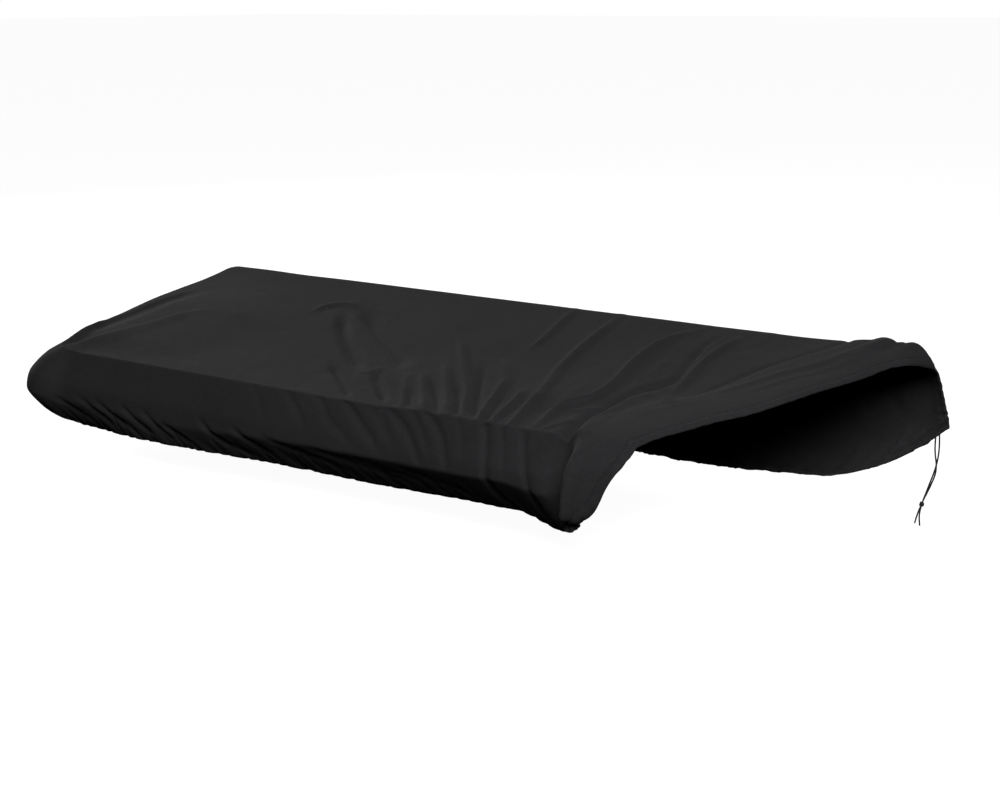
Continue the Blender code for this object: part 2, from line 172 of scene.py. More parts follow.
# %% Sweep the two free ends of the drawstring
CORD_MM = 2.0
CORD_SIDES = 14
CORD_RINGS = 150
TIP_RINGS = 4
TIP_LENGTH = 0.6
TIP_END = 0.12
RIGHT_ROUTE = (
    (583.0, 210.7, 56.2), (583.4, 210.7, 49.0), (583.8, 210.4, 38.0), (583.4, 209.8, 27.0),
    (581.8, 209.2, 16.0), (578.6, 209.0, 4.0), (574.6, 209.2, -8.0), (570.6, 209.4, -20.0),
    (567.2, 209.6, -30.0), (564.8, 209.6, -39.0), (563.4, 209.0, -47.0),
    (563.4, 208.4, -55.0), (564.6, 208.0, -63.5),
)
LEFT_ROUTE = (
    (578.4, 210.7, 51.2), (578.2, 210.9, 44.0), (578.0, 211.4, 36.0), (578.6, 212.2, 26.0),
    (580.0, 212.9, 15.0), (579.4, 213.0, 4.0), (575.8, 212.6, -8.0), (571.0, 212.4, -20.0),
    (566.7, 212.2, -30.0), (563.4, 211.9, -39.0), (560.2, 212.4, -47.0),
    (557.8, 212.6, -55.0), (555.8, 212.8, -63.0),
)


def link(name, mesh):
    """Put a mesh into the scene as an object at the origin."""
    piece = bpy.data.objects.new(name, mesh)
    bpy.context.scene.collection.objects.link(piece)
    return piece


def sweep(name, route, radius, sides, cap_rings):
    """Sweep a ring along a route in millimetres, with rounded ends and a UV map in metres."""
    ahead = np.gradient(route, axis=0)
    ahead /= np.linalg.norm(ahead, axis=1)[:, None]
    aside = np.cross(ahead[0], (0.0, 1.0, 0.0))
    steps = np.linalg.norm(np.diff(route, axis=0), axis=1)
    runs = np.concatenate(([0.0], np.cumsum(steps)))
    turn = np.linspace(0, 2 * np.pi, sides, endpoint=False)
    bm = bmesh.new()
    rings, ring_runs = [], []
    for index in range(-cap_rings, len(route) + cap_rings):
        on = min(max(index, 0), len(route) - 1)
        beyond = np.clip(abs(index - on) / cap_rings, 0, 1) * np.pi / 2
        side_of_end = np.sign(index - on)
        aside = aside - ahead[on] * (aside @ ahead[on])
        aside /= np.linalg.norm(aside)
        upward = np.cross(ahead[on], aside)
        centre = route[on] + ahead[on] * side_of_end * radius * TIP_LENGTH * np.sin(beyond)
        reach = radius * max(np.cos(beyond), TIP_END)
        circle = centre + reach * (np.cos(turn)[:, None] * aside + np.sin(turn)[:, None] * upward)
        rings.append([bm.verts.new(place) for place in metres(circle)])
        ring_runs.append(runs[on] + side_of_end * radius * np.sin(beyond))
    unrolled = bm.loops.layers.uv.new("unrolled")
    girth = 2 * np.pi * radius
    for low, high, run_low, run_high in zip(rings, rings[1:], ring_runs, ring_runs[1:]):
        for corner in range(sides):
            after = (corner + 1) % sides
            face = bm.faces.new((low[corner], low[after], high[after], high[corner]))
            face.smooth = True
            around = (corner, corner + 1, corner + 1, corner)
            along = (run_low, run_low, run_high, run_high)
            for loop, u, v in zip(face.loops, around, along):
                loop[unrolled].uv = (u / sides * girth * METRE, v * METRE)
    bm.faces.new(rings[0][::-1])
    bm.faces.new(rings[-1])
    bmesh.ops.recalc_face_normals(bm, faces=bm.faces)
    mesh = bpy.data.meshes.new(name)
    bm.to_mesh(mesh)
    bm.free()
    return link(name, mesh), runs[-1]


cords = []
for cord_name, cord_route in (("cord_right", RIGHT_ROUTE), ("cord_left", LEFT_ROUTE)):
    line = smooth_line(cord_route, CORD_RINGS)
    cord, cord_length = sweep(cord_name, line, CORD_MM / 2, CORD_SIDES, TIP_RINGS)
    cords.append((cord, line, cord_length))
    print(cord_name, "is", round(float(cord_length), 1), "mm long")

# %% [markdown]
# ## The knot
#
# Both ends are tied together with one knot near their tips. Modelled strand by strand a
# tight knot is a puzzle, and at 7 mm across nobody would see it. What shows is a small
# barrel of turns, so this one is just over two and a half turns of the same cord, wound
# round both strands, with the two ends of the winding tucked in.

# %% Wind the knot
KNOT_HEIGHT = -37.0
KNOT_TURNS = 2.6
KNOT_PITCH = 1.75
KNOT_CORD = 0.95
KNOT_GRIP = 2.05
KNOT_RINGS = 110
KNOT_TUCK = 0.12
TUCKED_GRIP = 0.45
OVAL_FLATNESS = 2.5
NEAR_KNOT = 3


def route_at(line, height):
    """Find where a hanging line passes a height."""
    rising = line[::-1]
    return place_where(rising[:, 2], rising, height)


strand_right = route_at(cords[0][1], KNOT_HEIGHT)
strand_left = route_at(cords[1][1], KNOT_HEIGHT)
between = strand_right - strand_left
spread = np.linalg.norm(between)
across = between / spread
downward = (route_at(cords[0][1], KNOT_HEIGHT - NEAR_KNOT)
            - route_at(cords[0][1], KNOT_HEIGHT + NEAR_KNOT))
downward /= np.linalg.norm(downward)
beside = np.cross(downward, across)
wound = np.linspace(0, 1, KNOT_RINGS)
angle = wound * KNOT_TURNS * 2 * np.pi
tuck = ease(wound / KNOT_TUCK) * ease((1 - wound) / KNOT_TUCK)
grip = KNOT_GRIP * (TUCKED_GRIP + (1 - TUCKED_GRIP) * tuck)
oval = grip * np.cos(angle) + np.tanh(np.cos(angle) * OVAL_FLATNESS) * spread / 2
winding = ((strand_right + strand_left) / 2
           + across * oval[:, None]
           + beside * (grip * np.sin(angle))[:, None]
           + downward * ((wound - 0.5) * KNOT_PITCH * KNOT_TURNS)[:, None])
knot, knot_length = sweep("drawstring_tie", winding, KNOT_CORD, CORD_SIDES, TIP_RINGS)
print("the knot takes", round(float(knot_length), 1), "mm of cord round strands",
      round(float(spread), 1), "mm apart")

# %% [markdown]
# ## The lie of the cloth
#
# The big decision is how to drape the cloth. A simulation could drop a sheet on a block,
# but it wouldn't give these folds. They come from the way the cover was pulled on and one
# corner drawn back, so each is placed by its own line. The cloth is laid out as a grid
# that is finer where it is folded: each stretch of a grid's table says where it starts,
# where it ends and in how many steps. The opening's table goes from front to back. It says
# where the bunched cloth starts and how high it stands there, where the hem lies and how
# high, how far the cloth between them swells, and how far the roll drops at the hem.

# %% Lay out the opening on the right
STILL_STRETCHES = ((LEFT_X, -555, 12), (-555, -340, 54), (-340, -40, 84))
FOLDED_COLUMNS, BUNCH_COLUMNS = 112, 30
DEPTH_STRETCHES = ((FRONT_EDGE_Y, -139, 13), (-139, 90, 50), (90, BACK_EDGE_Y, 15))
ROLL_SHARPNESS = 12
SWELL_FLATNESS = 4
LIFT_REACH = 75
TOP_SAG = 3.0

Opening = namedtuple("Opening", "y bunch_x bunch_lift hem_x hem_lift swell drop")
OPENING = (
    Opening(-179, 324, 4, 404, 6, 4, 0),
    Opening(-156, 320, 5, 414, 8, 5, 0),
    Opening(-128, 322, 6, 432, 9, 5, 0),
    Opening(-98, 330, 6, 452, 10, 5, 0),
    Opening(-66, 350, 6, 478, 10, 5, 0),
    Opening(-33, 378, 4, 498, 11, 5, 0),
    Opening(28, 408, 3, 524, 8, 5, 0),
    Opening(78, 422, 3, 548, 5, 4, 0),
    Opening(108, 438, 3, 568, 9, 3, 2),
    Opening(122, 447, 3, 577, 10, 3, 6),
    Opening(142, 459, 3, 582, 8, 3, 12),
    Opening(170, 478, 2, 590, 7, 4, 26),
)


def stretches(table):
    """Places that are evenly spaced inside each stretch of a table."""
    steps = [np.linspace(low, high, count + 1)[1:] for low, high, count in table]
    return np.concatenate([[table[0][0]]] + steps)


def plain_top(y):
    """Height of the taut sloping top at a depth, with its slight sag."""
    share = (y - FRONT_EDGE_Y) / (BACK_EDGE_Y - FRONT_EDGE_Y)
    sag = TOP_SAG * np.clip(4 * share * (1 - share), 0, 1)
    return FRONT_EDGE_HEIGHT + TOP_SLOPE * (y - FRONT_EDGE_Y) - sag


print(len(OPENING), "rows give the opening its line")

# %% [markdown]
# ## The folds of the top
#
# Each fold is a row: its height (under zero for a trough), how far it spreads to the left
# and to the right of its line, how crisp its crest is, and the line itself, in
# millimetres on the plan, walked from the back to the front. A soft fold is a smooth bump
# across its line. A crisp one is steeper and has a narrow crest, like the tension ridges
# that run from the pulled corner. A fold that falls away faster on one side than on the
# other catches the light as pulled cloth does. Four families show: slack troughs that run
# forward from a small lip, a fan of drag lines that meets at the pinch in the front edge,
# long ridges that lean towards the bunched corner or follow the left end, and the lobe,
# the lines and the lumps of the corner that is drawn back.

# %% List the folds of the top
Fold = namedtuple("Fold", "name height left right crisp line")
SLACK_FOLDS = (
    Fold("lip", 2.6, 10, 7, 0.4, ((-303, 46), (-301, 78), (-280, 93), (-244, 90))),
    Fold("under the lip", -1.2, 6, 14, 0.2,
         ((-290, 52), (-288, 73), (-272, 83), (-246, 79), (-228, 68))),
    Fold("first trough", -8.6, 16, 13, 0.3,
         ((-262, 70), (-246, 51), (-199, 4), (-142, -44), (-78, -95))),
    Fold("ridge between", 4.0, 12, 14, 0.2,
         ((-236, 52), (-161, -8), (-64, -77), (-14, -114), (34, -158))),
    Fold("second trough", -10.0, 26, 14, 0.3,
         ((-246, 92), (-185, 45), (-126, 3), (-74, -31), (-24, -74))),
    Fold("first slash", -7.4, 10, 7, 0.4, ((-142, -88), (-101, -116), (-67, -141), (-32, -168))),
    Fold("cap of the second slash", 2.6, 8, 6, 0.3, ((-84, -98), (-62, -90), (-42, -86))),
    Fold("second slash", -7.8, 12, 8, 0.4, ((-62, -90), (-20, -126), (22, -165))),
)
FAN_FOLDS = (
    Fold("fan ridge 1", 3.2, 10, 9, 0.4, ((-16, -76), (26, -129), (66, -182))),
    Fold("fan dip 1", -3.8, 7, 7, 0.3, ((24, -122), (70, -172))),
    Fold("fan ridge 2", 5.0, 9, 9, 0.5, ((2, -66), (53, -126), (104, -186))),
    Fold("fan dip 2", -6.6, 8, 9, 0.4, ((30, -84), (69, -123), (120, -180))),
    Fold("fan ridge 3", 5.6, 9, 9, 0.5, ((8, -28), (79, -111), (142, -186))),
    Fold("fan dip 3", -4.8, 8, 7, 0.3, ((74, -88), (108, -126), (150, -180))),
    Fold("fan ridge 4", 5.8, 9, 9, 0.5, ((-26, 44), (49, -40), (94, -91), (160, -186))),
    Fold("fan dip 4", -6.6, 8, 8, 0.4, ((62, -18), (108, -85), (134, -123), (176, -180))),
    Fold("soft fan ridge", 2.8, 12, 12, 0.1, ((78, 6), (122, -48), (142, -90))),
    Fold("fan ridge 5", 6.0, 8, 7, 0.6, ((128, -56), (150, -110), (184, -188))),
    Fold("fan dip 5", -5.0, 6, 6, 0.4, ((150, -92), (170, -135), (192, -184))),
    Fold("fan ridge 6", 5.2, 8, 7, 0.6, ((167, -66), (184, -120), (203, -190))),
    Fold("fan dip 6", -4.2, 6, 6, 0.4, ((187, -100), (204, -176))),
    Fold("fan ridge 7", 4.6, 8, 7, 0.6, ((196, -74), (211, -125), (229, -190))),
)
LONG_FOLDS = (
    Fold("thin ridge", 3.8, 8, 9, 0.7, ((74, 172), (84, 111), (92, 73), (97, 30))),
    Fold("first long ridge", 5.0, 10, 12, 0.7,
         ((149, 176), (154, 113), (159, 63), (167, 21), (177, -18), (192, -61), (207, -108),
          (228, -176))),
    Fold("second long ridge", 6.4, 12, 11, 0.7,
         ((282, 158), (256, 124), (250, 81), (252, 42), (262, -7), (266, -43), (263, -71),
          (248, -94), (246, -113), (251, -138), (262, -186))),
    Fold("small lump 1", 1.6, 8, 9, 0.3, ((286, 60), (291, 36), (296, 12))),
    Fold("small lump 2", 1.4, 8, 8, 0.3, ((294, -12), (300, -34))),
    Fold("ridge by the wedge", 2.6, 7, 8, 0.5, ((300, -78), (284, -99), (262, -108))),
    Fold("ridge under the wedge", 2.2, 7, 7, 0.4, ((290, -132), (279, -152), (268, -176))),
    Fold("short dip", -2.4, 8, 6, 0.3, ((311, 138), (311, 106), (317, 72))),
    Fold("dip by the ridge", -3.0, 7, 7, 0.4, ((312, 98), (321, 57), (333, 4))),
    Fold("third long ridge", 4.6, 9, 8, 0.8,
         ((343, 158), (336, 100), (336, 65), (343, 20), (358, -44))),
    Fold("ridge of the left end", 3.6, 34, 10, 0.5,
         ((-459, -2), (-484, -31), (-500, -72), (-513, -99), (-530, -127), (-546, -142),
          (-560, -157), (-574, -176), (-590, -200))),
    Fold("rim of the left end", 5.2, 22, 20, 0.1,
         ((-592, -82), (-592, -120), (-590, -160), (-586, -190))),
    Fold("hollow of the left end", -3.2, 28, 14, 0.0,
         ((-542, 67), (-556, 17), (-562, -25), (-568, -62), (-578, -105), (-576, -150))),
)
CORNER_FOLDS = (
    Fold("front edge drawn up", 4.5, 80, 80, 0.0,
         ((20, -184), (150, -186), (280, -186), (410, -186))),
    Fold("wedge by the lobe", -9.0, 7, 20, 0.4,
         ((344, 26), (326, -6), (312, -46), (305, -76), (302, -110), (304, -136), (311, -172),
          (314, -230))),
    Fold("rim of the lobe", 5.0, 24, 6, 0.5,
         ((334, -12), (319, -34), (315, -60), (316, -89), (314, -118), (315, -140), (322, -172),
          (326, -230))),
    Fold("highlight of the lobe", 4.0, 6, 8, 0.7,
         ((320, -34), (341, -44), (362, -58), (388, -77))),
    Fold("line above the band", -2.6, 7, 9, 0.4,
         ((488, 200), (478, 166), (462, 134), (445, 110), (424, 75), (408, 45), (396, 7),
          (376, -50))),
    Fold("first fold of the band", 1.8, 9, 13, 0.4,
         ((549, 178), (510, 137), (482, 90), (452, 50), (427, 0), (398, -44))),
    Fold("second fold of the band", 1.3, 8, 8, 0.4,
         ((540, 135), (507, 92), (473, 36), (443, -22))),
    Fold("first lump of the corner", 4.0, 20, 18, 0.0,
         ((526, 230), (525, 172), (519, 140), (502, 100))),
    Fold("second lump of the corner", 1.8, 15, 17, 0.1,
         ((566, 230), (566, 172), (562, 150), (550, 128))),
    Fold("dent between the lumps", -1.6, 5, 6, 0.4,
         ((542, 230), (543, 176), (536, 152), (520, 132))),
    Fold("dent of the second lump", -1.2, 4, 4, 0.4,
         ((556, 230), (556, 178), (550, 158), (540, 142))),
)
TOP_FOLDS = SLACK_FOLDS + FAN_FOLDS + LONG_FOLDS + CORNER_FOLDS
print(len(TOP_FOLDS), "folds on the top")

# %% [markdown]
# A fold needs to know, for every point of the cloth, how far it is from the fold's line,
# on which side, and where along the line. The line is sampled as short straight steps,
# and each point keeps its nearest one.

# %% Raise the cloth along a fold
LINE_SAMPLES = 26
CREST_ROUND = 0.12
FOLD_FADE = 0.22
FOLD_AT_ENDS = 0.12


def along_line(x, y, line):
    """Distance from a line (over zero on its left), and the nearest share of the line."""
    points = smooth_line(line, LINE_SAMPLES)
    distance = np.full(np.shape(x), np.inf)
    share = np.zeros(np.shape(x))
    for index, (start, end) in enumerate(zip(points, points[1:])):
        length = np.hypot(*(end - start))
        step = (end - start) / length
        travel = np.clip((x - start[0]) * step[0] + (y - start[1]) * step[1], 0, length)
        off_x = x - start[0] - travel * step[0]
        off_y = y - start[1] - travel * step[1]
        away = np.hypot(off_x, off_y)
        side = np.where(step[0] * off_y - step[1] * off_x >= 0, 1.0, -1.0)
        nearer = away < np.abs(distance)
        distance = np.where(nearer, side * away, distance)
        share = np.where(nearer, (index + travel / length) / (LINE_SAMPLES - 1), share)
    return distance, share


def fold_profile(distance, left, right, crisp):
    """Height across a fold: a smooth bump mixed with a steep one that has a narrow crest."""
    reach = np.where(distance > 0, left, right)
    across = np.clip(np.abs(distance) / reach, 0, 1)
    soft = (1 - across ** 2) ** 2
    crest = np.sqrt(across ** 2 + CREST_ROUND ** 2) - CREST_ROUND
    steep = np.clip(1 - crest / (1 - CREST_ROUND), 0, 1) ** 2
    return soft * (1 - crisp) + steep * crisp


def fold_height(x, y, fold):
    """Raise or sink the cloth along one fold, fading out at its two ends."""
    distance, share = along_line(x, y, fold.line)
    fade = ease(share / FOLD_FADE) * ease((1 - share) / FOLD_FADE)
    across = fold_profile(distance, fold.left, fold.right, fold.crisp)
    return fold.height * across * (FOLD_AT_ENDS + (1 - FOLD_AT_ENDS) * fade)


print("a crest is rounded over", CREST_ROUND, "of its reach")

# %% [markdown]
# Cloth is never as even as a formula. Between the folds lie small short wrinkles and
# broad slack places. They could be a noise texture, but noise has no direction, and
# wrinkles run along the pull. So each is one soft bump or dent, longer than it is wide,
# with its place, turn and height drawn from a fixed seed inside its own patch of cloth.

# %% Scatter small wrinkles
WRINKLE_SEED = 23
Patch = namedtuple("Patch", "name count x y turn spread length width height")
PATCHES = (
    Patch("slack places", 60, (-590, 420), (-170, 165), 0.0, 1.6, (45, 110), (22, 50), 0.7),
    Patch("whole top", 150, (-560, 200), (-170, 160), -0.8, 0.9, (12, 38), (5, 12), 0.35),
    Patch("along the front", 110, (-520, 150), (-174, -112), -0.7, 0.6, (7, 20), (4, 7), 0.55),
    Patch("near the lip", 30, (-280, -60), (-120, 60), -0.7, 0.4, (10, 26), (5, 8), 0.6),
    Patch("left end", 36, (-575, -420), (-168, 120), -0.3, 0.5, (14, 44), (4, 8), 0.45),
    Patch("pulled cloth", 110, (150, 430), (-150, 150), -1.5, 0.3, (9, 30), (3.5, 6), 0.65),
    Patch("band", 40, (380, 575), (-90, 165), 0.95, 0.2, (20, 60), (4, 7), 0.5),
)


def scattered(x, y, patch, draw):
    """Sum of a patch's soft bumps and dents."""
    total = np.zeros(np.shape(x))
    for _ in range(patch.count):
        off_x = x - draw.uniform(*patch.x)
        off_y = y - draw.uniform(*patch.y)
        turn = patch.turn + draw.uniform(-patch.spread, patch.spread)
        along = (off_x * np.cos(turn) + off_y * np.sin(turn)) / draw.uniform(*patch.length)
        across = (off_y * np.cos(turn) - off_x * np.sin(turn)) / draw.uniform(*patch.width)
        total += draw.uniform(-patch.height, patch.height) * np.exp(-along ** 2 - across ** 2)
    return total


def wrinkles(x, y):
    """All the small wrinkles of the top."""
    draw = np.random.default_rng(WRINKLE_SEED)
    return sum(scattered(x, y, patch, draw) for patch in PATCHES)


print(sum(patch.count for patch in PATCHES), "wrinkles in", len(PATCHES), "patches")

# %% [markdown]
# Now the top can be laid out: rows from front to back, and columns from the left end to
# the hem. The left end stands 10 mm proud of the plane, up to a slanting ridge, which the
# table gives as depths and lengths. The two left corners of a grid are square, so they
# are eased into arcs.

# %% Lay out the top
LEFT_END_LIFT = 10
LEFT_END_RIDGE = (
    (0, -574), (23, -560), (52, -530), (80, -513), (107, -500), (148, -484), (177, -459),
    (400, -420),
)
LEFT_END_TAIL, LEFT_END_FROM_EDGE = 190, 60
LEFT_END_REACH, LEFT_END_FADE = 330, 160
FRONT_CORNER_RADIUS, BACK_CORNER_RADIUS = 18, 16


def left_end_lift(x, y):
    """The left end stands a little proud, up to a slanting ridge, and falls slowly from there."""
    depth = y - FRONT_EDGE_Y
    ridge_x = np.interp(depth, *zip(*LEFT_END_RIDGE))
    tail = (1 - np.clip((x - ridge_x) / LEFT_END_TAIL, 0, 1) ** 2) ** 2
    grown = ease(depth / LEFT_END_FROM_EDGE) * ease((LEFT_END_REACH - depth) / LEFT_END_FADE)
    return LEFT_END_LIFT * tail * grown


def round_corners(x, y):
    """Ease the two left corners of the top into arcs, as a square is drawn into a disc."""
    for edge_y, inward, radius in ((FRONT_EDGE_Y, 1, FRONT_CORNER_RADIUS),
                                   (BACK_EDGE_Y, -1, BACK_CORNER_RADIUS)):
        centre_x = LEFT_X + radius
        centre_y = edge_y + inward * radius
        a = (centre_x - x) / radius
        b = (centre_y - y) * inward / radius
        inside = (a > 0) & (b > 0)
        new_x = centre_x - radius * a * np.sqrt(np.clip(1 - b * b / 2, 0, 1))
        new_y = centre_y - inward * radius * b * np.sqrt(np.clip(1 - a * a / 2, 0, 1))
        x = np.where(inside, new_x, x)
        y = np.where(inside, new_y, y)
    return x, y


def top_points():
    """Places of the top, in millimetres, as an array of rows and columns."""
    depth = stretches(DEPTH_STRETCHES)
    opening = through([row.y for row in OPENING], [row[1:] for row in OPENING], depth)
    bunch_x, bunch_lift, hem_x, hem_lift, swell, drop = opening.T[:, :, None]
    still = stretches(STILL_STRETCHES)
    folded = np.linspace(0, 1, FOLDED_COLUMNS + 1)[1:-1]
    bunch = np.linspace(0, 1, BUNCH_COLUMNS + 1)
    x = np.concatenate([
        np.repeat(still[None], len(depth), axis=0),
        still[-1] + (bunch_x - still[-1]) * folded,
        bunch_x + (hem_x - bunch_x) * bunch,
    ], axis=1)
    y = np.repeat(depth[:, None], x.shape[1], axis=1)
    before = np.clip((x - bunch_x) / LIFT_REACH + 1, 0, 1) ** 2
    lift = bunch_lift * before
    rise = bunch_lift + (hem_lift - bunch_lift) * bunch
    swelling = swell * (1 - (2 * bunch - 1) ** SWELL_FLATNESS)
    lift[:, -len(bunch):] = rise + swelling - drop * bunch ** ROLL_SHARPNESS
    x, y = round_corners(x, y)
    height = plain_top(y) + left_end_lift(x, y) + lift
    for fold in TOP_FOLDS:
        height = height + fold_height(x, y, fold)
    height += wrinkles(x, y)
    return np.stack([x, y, height], axis=-1)


top = top_points()
print("top grid", top.shape[:2], "highest", round(float(top[..., 2].max()), 1), "mm")

# %% [markdown]
# ## The walls
#
# Each wall hangs from the top's edge, swells a little, turns under and ends in the hem. A row of the table is one section through the wall: how far out from the edge
# the cloth stands and its height at the shoulder, at its fullest, where it turns, at its
# lowest and at its edge. Where the cloth is stretched taut its bends are crisp,
# and where it hangs free they are round, so each row also says how crisp it is, and how
# far the cloth slides sideways on its way down. PROFILE_PLACES says at which share of the
# way down those five places lie, after the top's edge. Between the rows a smooth curve is
# read, so the walls change gently from the lobe, round the left end, to the flap at the
# back right corner.

# %% List the sections of the walls
Section = namedtuple("Section", "name at shoulder fullest turn lowest edge slide crisp")
SECTIONS = {
    "front": (
        Section("hem of the lobe", 404, (20, 76), (33, 50), (37, 22), (36, 8), (31, 3), 52, 0),
        Section("lobe, right", 385, (21, 78), (36, 47), (42, 16), (35, 1), (36, -7), 40, 0),
        Section("lobe, middle", 360, (23, 81), (41, 49), (46, 14), (30, -2), (32, -12), 24, 0),
        Section("lobe, left", 335, (22, 80), (39, 50), (41, 14), (20, -3), (24, -12), 11, 0),
        Section("deep fold", 317, (2, 66), (-1, 42), (-2, 20), (-10, -22), (-22, -20), 5, 0.2),
        Section("beside the lobe", 290, (9, 66), (19, 42), (19, 20), (-21, -33), (-36, -31), 1, 0.8),
        Section("step", 262, (9, 67), (20, 42), (20, 23), (-27, -31), (-42, -28), 0, 0.8),
        Section("before the step", 236, (9, 67), (21, 42), (22, 27), (-22, -21), (-37, -13), 0, 0.9),
        Section("pinch", 190, (9, 66), (20, 42), (22, 26), (-24, -21), (-39, -12), 0, 0.9),
        Section("front, middle", 0, (9, 66), (20, 42), (24, 25), (-22, -25), (-37, -15), 0, 0.9),
        Section("front, half left", -180, (9, 66), (21, 40), (25, 21), (-8, -22), (-28, -16), 0, 0.9),
        Section("front, left", -330, (9, 66), (22, 38), (25, 13), (8, -21), (-16, -18), 0, 0.8),
        Section("front, far left", -430, (9, 66), (23, 38), (26, 16), (8, -22), (-16, -18), 0, 0.7),
        Section("before the corner", -520, (9, 67), (25, 41), (27, 19), (-3, -23), (-25, -17), 0, 0.7),
        Section("near the corner", -556, (11, 68), (29, 43), (32, 21), (0, -21), (-23, -16), 0, 0.6),
        Section("front corner", -578, (22, 76), (47, 50), (51, 28), (14, -11), (-12, -14), 0, 0.4),
    ),
    "left": (
        Section("behind the corner", -100, (16, 92), (35, 52), (35, 24), (2, -20), (-20, -14), 0, 0.4),
        Section("left end, middle", 20, (11, 120), (19, 72), (18, 20), (-6, -22), (-25, -14), 0, 0.5),
        Section("back left corner", 170, (6, 146), (14, 92), (14, 24), (-6, -18), (-22, -12), 0, 0.4),
    ),
    "back": (
        Section("back, left", -470, (14, 146), (27, 96), (27, 22), (3, -19), (-15, -13), 0, 0.5),
        Section("back, middle", 60, (14, 146), (28, 96), (28, 20), (4, -20), (-14, -13), 0, 0.5),
        Section("back, right", 380, (14, 148), (30, 98), (31, 26), (8, -16), (-10, -12), 0, 0.4),
        Section("back, hem rising", 470, (15, 150), (33, 104), (36, 46), (24, -2), (10, -8), 0, 0.2),
        Section("flap, left", 530, (17, 150), (37, 110), (42, 66), (40, 30), (34, 16), 2, 0),
        Section("flap, right", 568, (16, 150), (34, 118), (41, 85), (45, 57), (43, 44), 4, 0),
        Section("hem of the flap", 589, (14, 134), (26, 112), (34, 93), (42, 75), (44, 62), 4, 0.3),
    ),
}
PROFILE_PLACES = (0.0, 0.14, 0.38, 0.54, 0.86, 1.0)
RING_STRETCHES = ((0.0, 0.14, 7), (0.14, 0.44, 8), (0.44, 0.62, 8), (0.62, 1.0, 13))
print(sum(map(len, SECTIONS.values())), "sections round the walls")

# %% [markdown]
# The edge of the top is one long path: along the front from the lobe to the left corner,
# back along the left end, and along the back to the flap. `runs` measures the distance
# along it, and `away` is the level direction outwards. Right of SETTLED_FROM_X the edge
# slants with the folds, so there the walls are sent straight to the front or the back.

# %% Walk round the edge of the top
SETTLED_FROM_X = 150.0
CORNER_SMOOTHING = 7


def edge_path(grid):
    """Walk round the top's edge from the lobe, past the left end, to the back right corner."""
    return np.concatenate([grid[0, ::-1], grid[1:, 0], grid[-1, 1:]])


def outward(path):
    """Each place's level direction away from the top, turning smoothly at the corners."""
    step = np.gradient(path[:, :2], axis=0)
    step /= np.linalg.norm(step, axis=1)[:, None]
    away = np.stack([-step[:, 1], step[:, 0]], axis=1)
    away[path[:, 0] > SETTLED_FROM_X] *= (0, 1)
    padded = np.pad(away, ((CORNER_SMOOTHING, CORNER_SMOOTHING), (0, 0)), mode="edge")
    kernel = np.hanning(2 * CORNER_SMOOTHING + 3)[1:-1]
    kernel /= kernel.sum()
    away = np.stack([np.convolve(padded[:, axis], kernel, mode="valid") for axis in range(2)],
                    axis=1)
    return away / np.linalg.norm(away, axis=1)[:, None]


path = edge_path(top)
away = outward(path)
runs = np.concatenate(([0.0], np.cumsum(np.linalg.norm(np.diff(path[:, :2], axis=0), axis=1))))
front_corner = int(np.argmin(path[:, 0] + path[:, 1]))
back_corner = int(np.argmin(path[:, 0] - path[:, 1]))
print("the edge is", round(float(runs[-1])), "mm long, with", len(path), "places")

# %% [markdown]
# The drawstring draws the hem in, so the cloth below the turn is gathered. The gathers
# are uneven and slant to the right as they go down, because the cloth was pulled that
# way. Each gather is a narrow valley with its own place, depth, width and slant, drawn at
# random from a fixed seed. The bold ones that show are listed with the panel's folds,
# below. TAUT_RUNS says where along the edge, counted from the lobe, the cloth is too
# taut to gather: 0 is slack and 1 is taut.

# %% Gather the cloth under the turn
GATHER_SEED = 5
GATHER_SPACING = (11.0, 24.0)
GATHER_DEPTH = (1.8, 5.0)
GATHER_WIDTH = (3.0, 5.6)
GATHER_SLANT = (18.0, 50.0)
GATHER_BEND = 1.4
GATHER_START = (0.50, 0.66)
GATHER_GROWS_OVER = 0.20
TAUT_RUNS = ((0, 0.2), (60, 0.6), (330, 0.55), (560, 0.1), (700, 0.0))


def gathers(at_run, share):
    """How far in the gathers pull the cloth, at a run along the edge and a share of the wall."""
    draw = np.random.default_rng(GATHER_SEED)
    drawn_in = np.zeros(len(at_run))
    centre = 0.0
    while centre < runs[-1]:
        centre += draw.uniform(*GATHER_SPACING)
        depth = draw.uniform(*GATHER_DEPTH)
        width = draw.uniform(*GATHER_WIDTH)
        slant = draw.uniform(*GATHER_SLANT)
        start = draw.uniform(*GATHER_START)
        middle = centre - slant * np.clip((share - start) / (1 - start), 0, 1) ** GATHER_BEND
        valley = np.exp(-((at_run - middle) / width) ** 2)
        drawn_in += depth * valley * ease((share - start) / GATHER_GROWS_OVER)
    taut = np.interp(at_run, *zip(*TAUT_RUNS))
    return drawn_in * (1 - taut)


print("gathers every", GATHER_SPACING, "mm, up to", GATHER_DEPTH[1], "mm deep")

# %% [markdown]
# The panels have folds of their own. They are rows of the same kind as on the top, but
# their lines run down the wall: how far along the side, and the height. The front panel
# has faint drag lines that lean to the right, one crisp upright crease where the pulled
# part starts, and bold slanting valleys in the cloth that turns under.

